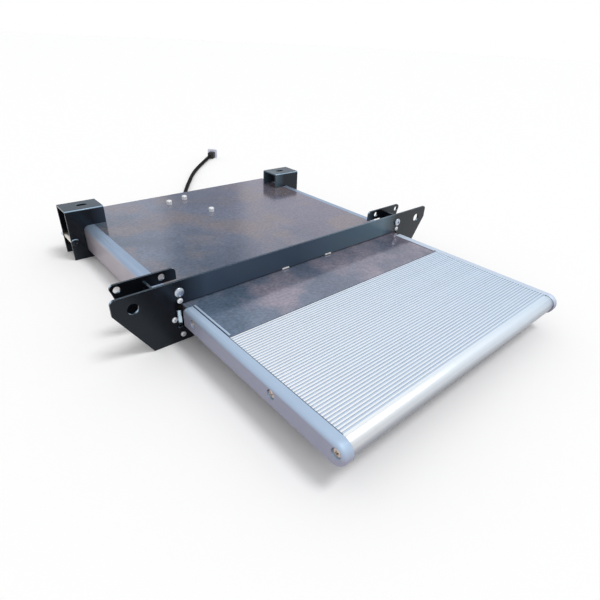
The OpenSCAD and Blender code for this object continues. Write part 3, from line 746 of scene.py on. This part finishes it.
JACKET = PowderCoat("cable_jacket", "cable_jacket", (0.006, 0.005, 0.005), (0.011, 0.01, 0.009), gloss=(0.55, 0.65),
                    drift=40.0, grain=1800.0, sheen=0.06)
NYLON = Finish("natural_nylon", "nylon", (0.78, 0.78, 0.75), (0.86, 0.86, 0.84), gloss=(0.42, 0.5), drift=60.0,
               grain=1500.0)
BLACK_PLASTIC = Finish("moulded_plastic", "black_plastic", (0.012, 0.012, 0.013), (0.02, 0.02, 0.021),
                       gloss=(0.42, 0.52), drift=80.0, grain=2400.0)
PALE_PLASTIC = Finish("pale_plastic", "pale_plastic", (0.74, 0.75, 0.9), (0.84, 0.85, 0.96), gloss=(0.38, 0.48),
                      drift=90.0, grain=2000.0)
# Painted shade: dark strip along the gap between the tread and the left trim.
GAP_SHADE = Finish("gap_painted_shade", "black_plastic", (0.07, 0.09, 0.13), (0.1, 0.12, 0.17), gloss=(0.55, 0.65),
                     drift=60.0, grain=1800.0)
# Painted light: the same strip on the right, coloured as if lit.
GAP_LIGHT = Finish("gap_painted_light", "pale_plastic", (0.66, 0.75, 0.86), (0.74, 0.82, 0.92), gloss=(0.5, 0.6), drift=60.0,
                   grain=1800.0)
BELT = Finish("belt_rubber", "belt_rubber", (0.014, 0.014, 0.014), (0.022, 0.022, 0.022), gloss=(0.6, 0.75),
              drift=70.0, grain=1800.0, relief=0.00005)


# Mesh helpers


def hang(name: str, data: bpy.types.ID) -> bpy.types.Object:
    """Add an object to the scene.

    Args:
        name: Name of the object.
        data: Its mesh, curve, camera or lamp.

    Returns:
        The new object.
    """
    item = bpy.data.objects.new(name, data)
    bpy.context.scene.collection.objects.link(item)
    return item


class MeshShop:
    """Makes meshes from profiles and turns them into pieces of the step."""

    @staticmethod
    def loft(rings: list[list[Point]]) -> bpy.types.Mesh:
        """Skin a row of rings.

        Args:
            rings: Rings with the same number of points each, or a single point at an end, in metres.

        Returns:
            A closed mesh.
        """
        shape = bmesh.new()
        rows = [[shape.verts.new(point) for point in ring] for ring in rings]
        count = max(len(row) for row in rows)
        for below, above in zip(rows, rows[1:]):
            for i in range(count):
                corners = [below[i % len(below)], below[(i + 1) % len(below)], above[(i + 1) % len(above)],
                           above[i % len(above)]]
                shape.faces.new(list(dict.fromkeys(corners)))
        for row in (rows[0], rows[-1]):
            if len(row) > 2:
                shape.faces.new(row)
        return MeshShop.close(shape)

    @staticmethod
    def lathe(profile: list[Span], sides: int = 40, rib: float = 0.0) -> bpy.types.Mesh:
        """Turn a profile about Z.

        Args:
            profile: Radius and height of each point, in millimetres.
            sides: Facets round the axis, 6 for a hexagon.
            rib: Height of ribs that take up two of every four points, in millimetres.

        Returns:
            A closed mesh, in metres.
        """
        rings = []
        for radius, height in profile:
            ring = []
            for i in range(sides if radius > 0 else 1):
                angle, reach = 2 * math.pi * i / sides, radius - (rib if i % 4 < 2 else 0.0)
                ring.append((reach * math.cos(angle) * MM, reach * math.sin(angle) * MM, height * MM))
            rings.append(ring)
        return MeshShop.loft(rings)

    @staticmethod
    def rounded(width: float, height: float, radius: float, middle: Span = (0, 0), steps: int = 5) -> list[Span]:
        """Draw a rectangle with round corners.

        Args:
            width: Size along the first axis.
            height: Size along the second axis.
            radius: Radius of the corners.
            middle: Middle of the rectangle.
            steps: Facets in each corner.

        Returns:
            Points of the outline, in the units given.
        """
        points = []
        for turn, (sx, sy) in enumerate(((1, 1), (-1, 1), (-1, -1), (1, -1))):
            cx, cy = middle[0] + sx * (width / 2 - radius), middle[1] + sy * (height / 2 - radius)
            for i in range(steps + 1):
                angle = math.pi / 2 * (turn + i / steps)
                points.append((cx + radius * math.cos(angle), cy + radius * math.sin(angle)))
        return points

    @staticmethod
    def close(shape: bmesh.types.BMesh) -> bpy.types.Mesh:
        """Turn a bmesh into a mesh with its normals outwards.

        Args:
            shape: The finished bmesh, which is freed.

        Returns:
            The mesh.
        """
        bmesh.ops.recalc_face_normals(shape, faces=shape.faces[:])
        mesh = bpy.data.meshes.new("shape")
        shape.to_mesh(mesh)
        shape.free()
        return mesh

    @staticmethod
    def cut(mesh: bpy.types.Mesh, tool: bpy.types.Mesh, way: str = "DIFFERENCE") -> bpy.types.Mesh:
        """Cut one mesh by another.

        Args:
            mesh: Mesh that is cut.
            tool: Mesh that cuts it.
            way: DIFFERENCE to take the tool away, INTERSECT to keep what lies in it.

        Returns:
            The cut mesh.
        """
        owner, cutter = hang("owner", mesh), hang("cutter", tool)
        change = owner.modifiers.new("cut", "BOOLEAN")
        change.operation = way
        change.object = cutter
        change.solver = "EXACT"
        graph = bpy.context.evaluated_depsgraph_get()
        result = bpy.data.meshes.new_from_object(owner.evaluated_get(graph))
        for item in (owner, cutter):
            bpy.data.objects.remove(item)
        return result

    @staticmethod
    def gather(parts: list[tuple[bpy.types.Mesh, Matrix]]) -> bpy.types.Mesh:
        """Copy meshes to their places in one mesh.

        Args:
            parts: Each mesh with its place.

        Returns:
            One mesh that holds them all.
        """
        shape = bmesh.new()
        for mesh, place in parts:
            moved = mesh.copy()
            moved.transform(place)
            shape.from_mesh(moved)
            bpy.data.meshes.remove(moved)
        return MeshShop.close(shape)

    @staticmethod
    def piece(name: str, mesh: bpy.types.Mesh, finish: Finish, body: Body, *replaced: str) -> None:
        """Make a piece of a mesh in the step's frame.

        Args:
            name: Name of the piece.
            mesh: Its mesh.
            finish: Its finish.
            body: Body that it moves with.
            *replaced: CAD nodes that it stands for.
        """
        mesh.shade_smooth()
        mesh.set_sharp_from_angle(angle=SMOOTH_ANGLE)
        MeshShop.enlist(hang(name, mesh), finish, body, *replaced)

    @staticmethod
    def enlist(item: bpy.types.Object, finish: Finish, body: Body, *replaced: str) -> bpy.types.Object:
        """Dress a piece and let it ride.

        Args:
            item: Object of the piece.
            finish: Its finish.
            body: Body that it moves with.
            *replaced: CAD nodes that it stands for.

        Returns:
            The same object.
        """
        item.data.materials.clear()
        item.data.materials.append(finish.material())
        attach(item, body.value)
        if replaced:
            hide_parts(*replaced)
        LOG.info("piece %s rides on %s", item.name, body.value)
        return item


# Sub-assemblies


@dataclass
class CadDress:
    """Finishes and soft edges of the nodes that keep their solid's shape.

    Attributes:
        finish: Finish of the nodes.
        nodes: Names of the nodes.
        edge: Width of the rounded edges, in metres.
        seam: Distance at which split corners are welded, in metres.
        facets: Facets across a rounded edge.
    """

    finish: Finish
    nodes: list[str]
    edge: float
    seam: float = 0.00001
    facets: int = 2

    def dress(self) -> None:
        """Give each node its material and edges."""
        for name in self.nodes:
            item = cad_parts[name]
            item.data.materials.clear()
            item.data.materials.append(self.finish.material())
            self.soften(item)
            LOG.info("node %s in %s", name, self.finish.name)

    def soften(self, item: bpy.types.Object) -> None:
        """Weld the node's split corners and round its sharp edges.

        Args:
            item: Object of the node.
        """
        weld = item.modifiers.new("weld", "WELD")
        weld.merge_threshold = self.seam
        bevel = item.modifiers.new("edges", "BEVEL")
        bevel.width = self.edge
        bevel.segments = self.facets
        bevel.limit_method = "ANGLE"
        bevel.angle_limit = SMOOTH_ANGLE
        bevel.use_clamp_overlap = True
        bevel.harden_normals = True


@dataclass
class SupplyCable:
    """Supply cable along the floor, from its gland to its connector.

    Attributes:
        diameter: Diameter of the jacket, in metres.
        roundness: Points added in each quarter of its section.
        steps: Points between two route points.
        route: Points of its middle line, in millimetres, as chosen for the solid.
    """

    diameter: float = 9 * MM
    roundness: int = 6
    steps: int = 6
    route: list[Point] = field(default_factory=lambda: [
        (30, 325, 16), (30, 345, 16), (31, 366, 13), (34, 388, 8), (40, 412, 5.2), (50, 437, 5), (66, 465, 5),
        (86, 497, 5), (110, 533, 5), (138, 573, 5), (176, 625, 5), (210, 666, 5), (245, 704, 5), (284, 742, 6.5),
        (318, 772, 9)])

    def path(self) -> list[Vector]:
        """Draw a smooth line through the route's points.

        Returns:
            Points of the line, in metres.
        """
        points = [Vector(p) * MM for p in self.route]
        padded = [points[0], *points, points[-1]]
        line = []
        for p0, p1, p2, p3 in zip(padded, padded[1:], padded[2:], padded[3:]):
            for i in range(self.steps):
                t = i / self.steps
                line.append(0.5 * (2 * p1 + (p2 - p0) * t + (2 * p0 - 5 * p1 + 4 * p2 - p3) * t ** 2
                                   + (3 * p1 - p0 - 3 * p2 + p3) * t ** 3))
        return [*line, points[-1]]

    def build(self) -> None:
        line = self.path()
        curve = bpy.data.curves.new("cable_line", "CURVE")
        curve.dimensions = "3D"
        curve.bevel_depth = self.diameter / 2
        curve.bevel_resolution = self.roundness
        curve.use_fill_caps = True
        spline = curve.splines.new("POLY")
        spline.points.add(len(line) - 1)
        for point, place in zip(spline.points, line):
            point.co = (*place, 1.0)
        spline.use_smooth = True
        item = MeshShop.enlist(hang("supply_cable", curve), JACKET, Body.CASING, "cable")


@dataclass
class StripSet:
    """Slim bars with soft edges, on one side of the step or alike on both.

    Attributes:
        name: Name of the piece.
        finish: Its finish.
        low: Lowest corner of the right-hand bar, in millimetres.
        high: Highest corner of the right-hand bar, in millimetres.
        edge: Width of the soft edges, in millimetres.
        turn: Turn of the right-hand bar about its upright middle line, in degrees.
        lean: How far its top leans back, in degrees.
        sides: Sides of the step that have a bar, 1 for the right and -1 for the left.
        body: Body that the bars ride on.
    """

    name: str
    finish: Finish
    low: Point
    high: Point
    edge: float = 0.5
    turn: float = 0.0
    lean: float = 0.0
    sides: tuple[int, ...] = (-1, 1)
    body: Body = Body.STEP

    def build(self) -> None:
        """Make the right-hand bar and put it, or its mirror image, on each side."""
        bar = self.bar()
        middle = Matrix.Translation((Vector(self.low) + Vector(self.high)) * MM / 2)
        slant = Matrix.Rotation(math.radians(self.turn), 4, "Z") @ Matrix.Rotation(math.radians(-self.lean), 4, "X")
        bar.transform(middle @ slant @ middle.inverted())
        bars = MeshShop.gather([(bar, Matrix.Scale(side, 4, (1, 0, 0))) for side in self.sides])
        MeshShop.piece(self.name, bars, self.finish, self.body)

    def bar(self) -> bpy.types.Mesh:
        """Skin the right-hand bar along its longest side.

        Returns:
            The bar's mesh.
        """
        size = [high - low for low, high in zip(self.low, self.high)]
        middle = [(low + high) / 2 for low, high in zip(self.low, self.high)]
        along = size.index(max(size))
        across, up = (axis for axis in range(3) if axis != along)
        start, end = self.low[along], self.high[along]
        rings = []
        for at, taken in ((start, self.edge), (start + self.edge / 2, 0), (end - self.edge / 2, 0), (end, self.edge)):
            ring = []
            for a, b in MeshShop.rounded(size[across] - taken, size[up] - taken, self.edge / 2):
                point = Vector(middle)
                point[along], point[across], point[up] = at, middle[across] + a, middle[up] + b
                ring.append(tuple(point * MM))
            rings.append(ring)
        return MeshShop.loft(rings)


class Drive(Enum):
    """How a screw is turned."""

    CROSS = "cross recess"
    SOCKET = "hexagon socket"
    HEXAGON = "hexagon cap"


Seat = tuple[Point, Point]


def mirrored(seats: list[Seat]) -> list[Seat]:
    """Return the seats together with their mirror images across the middle of the step."""
    return seats + [((-at[0], at[1], at[2]), (-way[0], way[1], way[2])) for at, way in seats]


def stand(at: Point, way: Point) -> Matrix:
    """Return the place of a piece whose Z axis is turned to the way, at a point in millimetres."""
    turn = Vector(way).to_track_quat("Z", "Y").to_matrix().to_4x4()
    return Matrix.Translation(Vector(at) * MM) @ turn


@dataclass
class Hardware:
    """Small turned pieces of one kind.

    Attributes:
        node: CAD node that the pieces stand for.
        body: Body that they ride on.
        seats: Middle of each seat, in millimetres, and the way out from it.
    """

    node: str
    body: Body
    seats: list[Seat]

    def copy(self, parts: list[bpy.types.Mesh], finish: Finish) -> None:
        """Copy the parts, seated at the origin and looking up, to each seat as one piece."""
        placed = [(part, stand(at, way)) for at, way in self.seats for part in parts]
        MeshShop.piece(f"{self.node}_detail", MeshShop.gather(placed), finish, self.body, self.node)


@dataclass
class ScrewSet(Hardware):
    """Screws of one kind, each with its head over the seat and its thread below it.

    Attributes:
        head: Diameter and height of the head, in millimetres.
        shank: Diameter and length of the threaded shank, in millimetres.
        drive: How they are turned.
        finish: Their plating.
        facets: Facets from the top of a domed head to its rim.
        cross_turn: Turn of a cross recess, in radians.
        root: Radius at the root of the thread, against that of its crest.
    """

    head: Span
    shank: Span
    drive: Drive = Drive.CROSS
    finish: Finish = ZINC
    facets: int = 8
    cross_turn: float = 0.5
    root: float = 0.86

    def build(self) -> None:
        """Make one screw and copy it to each seat."""
        self.copy([self.crown(), self.thread()], self.finish)

    def crown(self) -> bpy.types.Mesh:
        """Make the head, with its recess or its flats.

        Returns:
            The head's mesh.
        """
        radius, height = self.head[0] / 2, self.head[1]
        if self.drive is Drive.HEXAGON:
            return self.hexagon(radius, height)
        dome = [(radius * math.sin(a), height * (0.45 + 0.55 * math.cos(a)))
                for a in (math.pi / 2 * (i + 1) / self.facets for i in range(self.facets))]
        body = MeshShop.lathe([(0, height), *dome, (radius, 0.12 * height), (radius * 0.95, 0), (0, 0)])
        if self.drive is Drive.SOCKET:
            key = MeshShop.lathe([(0, height + 1), (0.4 * radius, height + 1), (0.4 * radius, 0.35 * height),
                                  (0, 0.25 * height)], 6)
            return MeshShop.cut(body, key)
        for turn in (0, math.pi / 2):
            arm = MeshShop.loft([[(x * MM, y * MM, z * MM) for x, y in MeshShop.rounded(long, wide, 0.1, steps=1)]
                                 for long, wide, z in ((0.66 * radius, 0.22 * radius, 0.3 * height),
                                                       (1.2 * radius, 0.34 * radius, height + 0.4))])
            arm.transform(Matrix.Rotation(turn + self.cross_turn, 4, "Z"))
            body = MeshShop.cut(body, arm)
        return body

    def hexagon(self, radius: float, height: float) -> bpy.types.Mesh:
        """Make a tall hexagon cap with a turned crown.

        Args:
            radius: Radius over the cap's corners, in millimetres.
            height: Height of the cap, in millimetres.

        Returns:
            The cap's mesh.
        """
        flats = MeshShop.lathe([(0, 0), (radius, 0), (radius, height), (0, height)], 6)
        crown = [(share * radius, height - drop) for share, drop in (
            (1, 2), (0.92, 1.5), (0.82, 0.9), (0.66, 0.2), (0.55, 0))]
        turned = MeshShop.lathe([(0, -1), (radius, -1), *crown, (0, height)])
        return MeshShop.cut(flats, turned, "INTERSECT")

    def thread(self) -> bpy.types.Mesh:
        """Make the shank with its thread.

        Returns:
            The shank's mesh.
        """
        radius, length = self.shank[0] / 2, self.shank[1]
        pitch = 0.25 * radius + 0.3
        turns = int((length - 1) / pitch)
        rings = [(radius * (self.root if i % 2 else 1.0), -0.5 - i * pitch / 2) for i in range(2 * turns)]
        return MeshShop.lathe([(0, 0), (radius, 0), *rings, (0.7 * radius, -length), (0, -length)], 24)


@dataclass
class NutSet(Hardware):
    """Hexagon nuts with both ends chamfered.

    Attributes:
        flats: Width across the flats, in millimetres.
        height: Height, in millimetres.
        bore: Diameter of the bore, in millimetres.
        chamfer: Height of the chamfers, in millimetres.
        face: Diameter of the chamfers' inner edge, against the width across the flats.
    """

    flats: float = 13.0
    height: float = 6.5
    bore: float = 8.1
    chamfer: float = 0.9
    face: float = 0.97

    def build(self) -> None:
        """Make one nut and copy it to each seat."""
        corner, edge, hole, top = self.flats / math.sqrt(3), self.flats / 2 * self.face, self.bore / 2, self.height
        block = MeshShop.lathe([(0, 0), (corner, 0), (corner, top), (0, top)], 6)
        turned = MeshShop.lathe([(0, 0), (edge, 0), (corner, self.chamfer), (corner, top - self.chamfer), (edge, top),
                                 (0, top)])
        drill = MeshShop.lathe([(0, -1), (hole, -1), (hole, top - 0.6), (hole + 0.8, top + 0.2), (0, top + 0.2)])
        self.copy([MeshShop.cut(MeshShop.cut(block, turned, "INTERSECT"), drill)], ZINC)


@dataclass
class CableEnds:
    """Gland at the casing and connector at the cable's far end.

    Attributes:
        gland: Middle of the gland's seat on the rear panel, in millimetres.
        tip: End of the cable, in millimetres.
        way: Direction of the cable at its end.
        ribs: Ribs round the gland's cap.
        rib: Height of the ribs, in millimetres.
        body_up: Height of the connector's middle line, in millimetres.
        socket_up: Height of its socket's middle line, in millimetres.
        pin_side: Distance of the contacts from the middle, in millimetres.
    """

    gland: Point = (30, 323, 16)
    tip: Point = (318, 772, 0)
    way: Point = (34, 30, 0)
    ribs: int = 18
    rib: float = 0.5
    body_up: float = 9.0
    socket_up: float = 12.5
    pin_side: float = 4.0

    def build(self) -> None:
        """Make the gland, the connector's body and its pale flange."""
        self.make_gland()
        turn = Matrix.Translation(Vector(self.tip) * MM) @ Matrix.Rotation(
            math.atan2(self.way[1], self.way[0]), 4, "Z")
        self.make_body(turn)
        self.make_flange(turn)

    def make_gland(self) -> None:
        """Make a hexagon foot, a ribbed cap and a cone round the cable."""
        foot = MeshShop.lathe([(0, 0), (10.6, 0), (10.95, 0.4), (10.95, 4.4), (10.4, 5), (0, 5)], 6)
        neck = MeshShop.lathe([(0, -2), (7.5, -2), (7.5, 0.5), (0, 0.5)])
        cap = MeshShop.lathe([(7.6, 5), (8, 5.5), (8, 9.4), (7.5, 10)], 4 * self.ribs, self.rib)
        cone = MeshShop.lathe([(0, 9.5), (7.4, 9.8), (7.2, 11), (6.2, 13.6), (5.6, 14), (4.75, 14), (4.65, 12.5),
                               (0, 12.5)])
        place = stand(self.gland, (0, 1, 0))
        parts = [(mesh, place) for mesh in (foot, neck, cap, cone)]
        MeshShop.piece("cable_gland_detail", MeshShop.gather(parts), BLACK_PLASTIC, Body.CASING, "cable_gland")

    @staticmethod
    def box_rings(rows: list[tuple[float, float, float, float]], middle: float) -> bpy.types.Mesh:
        """Return a skin over rectangles: distance along the cable, width, height and corner, in millimetres."""
        return MeshShop.loft([[(x * MM, y * MM, z * MM) for y, z in MeshShop.rounded(w, h, r, (0, middle))]
                              for x, w, h, r in rows])

    def make_body(self, turn: Matrix) -> None:
        """Make the ribbed boot and the housing with its grip ridges.

        Args:
            turn: Place of the cable's end.
        """
        boot = [(0, 10.6, 4.5), (0.4, 11.4, 4.8), (1.6, 11.4, 4.8), (2, 10.4, 4.5), (2.8, 10.4, 4.5), (3.2, 11.8, 4.8),
                (4.4, 11.8, 4.8), (4.8, 10.8, 4.5), (6.2, 12, 4)]
        housing = [(6, 16.6, 2.5), (6.7, 18, 2.6)]
        for x in (9.5, 12.5, 15.5):
            housing += [(x, 18, 2.6), (x + 0.4, 17, 2.3), (x + 1.4, 17, 2.3), (x + 1.8, 18, 2.6)]
        housing += [(25.6, 18, 2.6), (26, 17.2, 2.3)]
        parts = [(self.box_rings([(x, size, size, corner) for x, size, corner in rows], self.body_up), turn)
                 for rows in (boot, housing)]
        MeshShop.piece("connector_body_detail", MeshShop.gather(parts), BLACK_PLASTIC, Body.CASING, "connector_body")

    def make_flange(self, turn: Matrix) -> None:
        """Make the pale socket with a pocket and its two contacts.

        Args:
            turn: Place of the cable's end.
        """
        shell = self.box_rings([(26, 29.2, 24.2, 4), (26.4, 30, 25, 4.2), (33.5, 30, 25, 4.2),
                                (34, 29.2, 24.2, 4)], self.socket_up)
        pocket = self.box_rings([(29, 24, 19, 2), (33.4, 24, 19, 2), (34.2, 25.4, 20.4, 2.4)], self.socket_up)
        parts = [(MeshShop.cut(shell, pocket), turn)]
        for side in (-self.pin_side, self.pin_side):
            pin = self.box_rings([(28.8, 5, 1.6, 0.5), (32.2, 5, 1.6, 0.5), (32.8, 4, 0.8, 0.3)], self.socket_up)
            parts.append((pin, turn @ Matrix.Translation((0, side * MM, 0))))
        MeshShop.piece("connector_flange_detail", MeshShop.gather(parts), PALE_PLASTIC, Body.CASING,
                       "connector_flange")


# Camera, floor and light


@dataclass
class Studio:
    """Pale floor, soft light and the camera at the photograph's angle.

    Attributes:
        eye: Place of the camera.
        right: Direction of the picture's right-hand side.
        up: Direction of the picture's upper side.
        lens: Focal length, in millimetres.
        sensor: Width of the sensor, in millimetres.
        backdrop: Tone of the floor and of the sky behind it.
        floor_size: Length of the floor's sides, in metres.
        floor_drop: Distance of the floor below the feet, in metres.
        sky_light: Strength of the light from all round.
        sky: Height and colour of the mirrored sky's stops, the two ends first.
        sun_strength: Strength of the sun.
        sun_width: Width of the sun, in degrees.
        sun_tilt: Turn of the sun about X and Y, in degrees.
        wall_tone: Colour of the dim wall.
        wall_angle: Direction of the dim wall, in degrees from straight behind.
        wall_width: Width of the dim wall, in degrees.
        wall_fade: Where the wall's edge starts and is full, against half its width.
        wall_front: Where the wall starts and is full ahead, from 0 to 1.
    """

    eye: Point = (-0.40792, -0.49018, 0.34099)
    right: Point = (0.757115, -0.651778, 0.044297)
    up: Point = (0.305538, 0.413225, 0.857847)
    lens: float = 26.18
    sensor: float = 36.0
    backdrop: float = 1.0
    floor_size: float = 60.0
    floor_drop: float = 0.0002
    sky_light: float = 0.68
    sky: tuple[tuple[float, Colour], ...] = (
        (0.0, (0.95, 0.94, 0.94)), (1.0, (0.96, 0.99, 1.0)), (0.3, (0.61, 0.655, 0.72)), (0.62, (0.82, 0.87, 0.93)))
    sun_strength: float = 1.1
    sun_width: float = 18.0
    sun_tilt: Span = (19.0, 14.0)
    wall_tone: Colour = (0.3, 0.35, 0.42)
    wall_angle: float = 28.8
    wall_width: float = 9.6
    wall_fade: Span = (1.15, 0.8)
    wall_front: Span = (0.0, 0.1)

    def build(self) -> None:
        """Set up the camera, the floor, the sky and the sun."""
        bpy.context.scene.view_settings.view_transform = "Standard"
        self.place_camera()
        self.lay_floor()
        self.light_sky()
        self.hang_sun()

    def place_camera(self) -> None:
        """Put the camera where the photograph was taken from."""
        camera = bpy.data.cameras.new("camera")
        camera.sensor_width, camera.lens = self.sensor, self.lens
        camera.clip_start, camera.clip_end = 0.01, 200.0
        item = hang("camera", camera)
        right, up = Vector(self.right).normalized(), Vector(self.up).normalized()
        turn = Matrix((right, up, right.cross(up))).transposed()
        item.matrix_world = Matrix.Translation(self.eye) @ turn.to_4x4()
        bpy.context.scene.camera = item

    def lay_floor(self) -> None:
        """Lay a wide pale floor under the feet."""
        half = self.floor_size / 2
        mesh = bpy.data.meshes.new("floor")
        mesh.from_pydata([(-half, -half, 0), (half, -half, 0), (half, half, 0), (-half, half, 0)], [], [(0, 1, 2, 3)])
        item = hang("floor", mesh)
        item.location.z = -self.floor_drop
        tone = (self.backdrop,) * 3
        mesh.materials.append(Finish("pale_floor", "none", tone, tone, gloss=(0.9, 0.95), relief=0.0).material())

    def light_sky(self) -> None:
        """Light the step softly from all round, with a plain pale sky behind it."""
        world = bpy.data.worlds.new("sky")
        bpy.context.scene.world = world
        world.use_nodes = True
        world.node_tree.nodes.clear()
        sheet = NodeSheet(world.node_tree)
        rays = sheet.add("ShaderNodeLightPath").outputs
        way = sheet.add("ShaderNodeTexCoord").outputs["Generated"]
        ramp = sheet.add("ShaderNodeValToRGB", Fac=sheet.split(way)["Z"])
        stops = ramp.color_ramp.elements
        for index, (height, tone) in enumerate(self.sky):
            stop = stops[index] if index < 2 else stops.new(height)
            stop.position, stop.color = height, (*tone, 1.0)
        room = sheet.mix(self.dim_wall(sheet, way), ramp.outputs["Color"], self.wall_tone)
        soft, shown, behind = (
            sheet.add("ShaderNodeBackground", Color=colour, Strength=strength).outputs[0] for colour, strength in (
                ((1.0, 1.0, 1.0), self.sky_light), (room, 1.0), ((self.backdrop,) * 3, 1.0)))
        light = soft
        for ray, sky in (("Is Glossy Ray", shown), ("Is Camera Ray", behind)):
            node = sheet.add("ShaderNodeMixShader", Fac=rays[ray])
            sheet.feed(node.inputs[1], light)
            sheet.feed(node.inputs[2], sky)
            light = node.outputs[0]
        sheet.add("ShaderNodeOutputWorld", Surface=light)

    def dim_wall(self, sheet: NodeSheet, way: Socket) -> Socket:
        """Mark the part of the room behind the step that is dimmer than the rest.

        Args:
            sheet: Tree of the world.
            way: Direction of the sky.

        Returns:
            Mask of the dim wall, for what mirrors it.
        """
        angle, edge = math.radians(self.wall_angle), math.sin(math.radians(self.wall_width / 2))
        aside, ahead = (sheet.vector("DOT_PRODUCT", way, axis, result="Value") for axis in (
            (math.cos(angle), -math.sin(angle), 0), (math.sin(angle), math.cos(angle), 0)))
        near = sheet.band(sheet.math("ABSOLUTE", aside), *(share * edge for share in self.wall_fade))
        return sheet.math("MULTIPLY", near, sheet.band(ahead, *self.wall_front))

    def hang_sun(self) -> None:
        """Hang one broad sun above, a little to the front right."""
        lamp = bpy.data.lights.new("sun", "SUN")
        lamp.energy = self.sun_strength
        lamp.angle = math.radians(self.sun_width)
        hang("sun", lamp).rotation_euler = (*map(math.radians, self.sun_tilt), 0)


# Nodes, hardware and strips of the step


DRESSES = [
    CadDress(BLACK_COAT, ["front_plate", "hanger_left", "hanger_right", "rear_bracket_left", "rear_bracket_right"],
             0.4 * MM),
    CadDress(GALVANISED, ["top_cover", "rear_panel", "front_tie", "drive_arm"], 0.25 * MM),
    CadDress(DECK_ZINC, ["deck"], 0.25 * MM),
    CadDress(RAIL, ["rail_left", "rail_right", "slide_bar_left", "slide_bar_right", "crossbar_rear", "crossbar_mid",
                    "belt_clamp"], 0.3 * MM),
    CadDress(TRIM, ["trim_left", "trim_right"], 0.3 * MM),
    CadDress(TREAD, ["tread"], 0.25 * MM),
    CadDress(ZINC, ["idler_pin", "drive_pulley", "output_shaft", "idler_pulley"], 0.2 * MM),
    CadDress(YELLOW_ZINC, ["bracket_sleeves"], 0.2 * MM),
    CadDress(NYLON, ["glide_pads"], 0.3 * MM),
    CadDress(CAST, ["gearbox"], 0.8 * MM),
    CadDress(MOTOR, ["motor_can"], 0.6 * MM),
    CadDress(BLACK_PLASTIC, ["motor_terminal", "shoe_front_left", "shoe_front_right", "shoe_rear_left",
                             "shoe_rear_right"], 0.5 * MM),
    CadDress(BELT, ["drive_belt"], 0.2 * MM),
    CadDress(BRONZE, ["idler_bush"], 0.2 * MM),
]

# Ways out of a seat, then sizes of heads and places of seats in millimetres
FRONT, REAR, DOWN, UP, LEFT, RIGHT = (0, -1, 0), (0, 1, 0), (0, 0, -1), (0, 0, 1), (-1, 0, 0), (1, 0, 0)
SMALL_HEAD, FLAT_HEAD, TRIM_HEAD = (7.4, 3), (7.4, 2.5), (10.5, 3)
RAIL_LINE, PLATE_FACE, PLATE_BACK, PLATE_BOLT_UP = 210.5, -53, -48.5, 71.5
BRACKET_LINE, BRACKET_BOLT_UP = 241, 32
TRIM_SEAT, TRIM_SCREWS = 209, ((-329.844, 43.411), (-239.64, 43.5), (-87, 43.5))
HARDWARE = [
    ScrewSet("plate_screws", Body.CASING, mirrored([((x, PLATE_FACE, z), FRONT) for x, z in (
        (220, 34.7), (RAIL_LINE, 10), (RAIL_LINE, 59.4))]), SMALL_HEAD, (4, 11), finish=WHITE_ZINC),
    ScrewSet("plate_bolts", Body.CASING, mirrored([((RAIL_LINE, PLATE_FACE, PLATE_BOLT_UP), FRONT)]), (12.6, 4),
             (8, 13.5), Drive.SOCKET),
    ScrewSet("panel_screws", Body.CASING, mirrored([((214.8, 330.5, z), LEFT) for z in (25.5, 41.5)]), SMALL_HEAD,
             (4, 5.7)),
    ScrewSet("tie_screws", Body.CASING, mirrored([((RAIL_LINE, y, 4), DOWN) for y in (-35, -23)]), FLAT_HEAD, (4, 7)),
    ScrewSet("motor_bolts", Body.CASING, [((x, y, 57), UP) for x, y in ((-55, 288), (-17, 299), (-9, 209))],
             (11.085, 7.5), (6, 12), Drive.HEXAGON, CAP_ZINC),
    ScrewSet("bracket_bolts", Body.CASING, mirrored([((BRACKET_LINE, 261.5, BRACKET_BOLT_UP), FRONT)]), (13, 3.5),
             (8, 54), Drive.SOCKET, BLACK_COAT),
    *(ScrewSet(f"trim_screws_{side}", Body.STEP, [((way[0] * TRIM_SEAT, *at), way) for at in TRIM_SCREWS], TRIM_HEAD,
               (4, 21), finish=PASSIVATED) for side, way in (("left", LEFT), ("right", RIGHT))),
    ScrewSet("arm_screws", Body.STEP, [((-5.685, y, 23), DOWN) for y in (-60, -50)], FLAT_HEAD, (4, 5.5)),
    NutSet("bracket_nuts", Body.CASING, mirrored([((BRACKET_LINE, 307.5, BRACKET_BOLT_UP), REAR)])),
    NutSet("plate_nuts", Body.CASING, mirrored([((RAIL_LINE, PLATE_BACK, PLATE_BOLT_UP), REAR)])),
]

STRIPS = [
    StripSet("deck_hems", TRIM, (195.9, -144.6, 52.6), (198.6, -64.9, 53.85)),
    # Painted shade on the left strip and painted light on the right one, between the tread and each trim.
    *(StripSet(f"gap_strip_{side}", finish, (199.5, -324.5, 51.72), (200.3, -147.5, 53.1), 0.1, sides=(way,))
      for side, finish, way in (("left", GAP_SHADE, -1), ("right", GAP_LIGHT, 1))),
    StripSet("shoe_wipers", POLISHED, (204.6, -41.1, 14), (210.8, -40.1, 36.5), 0.4, turn=24, lean=15),
]


def main() -> None:
    """Build the studio, then each sub-assembly in order."""
    logging.basicConfig(level=logging.INFO, format="%(name)s: %(message)s")
    Studio().build()
    CableEnds().build()
    SupplyCable().build()
    for dress in DRESSES:
        dress.dress()
    for piece in [*HARDWARE, *STRIPS]:
        piece.build()


if __name__ == "__main__":
    main()
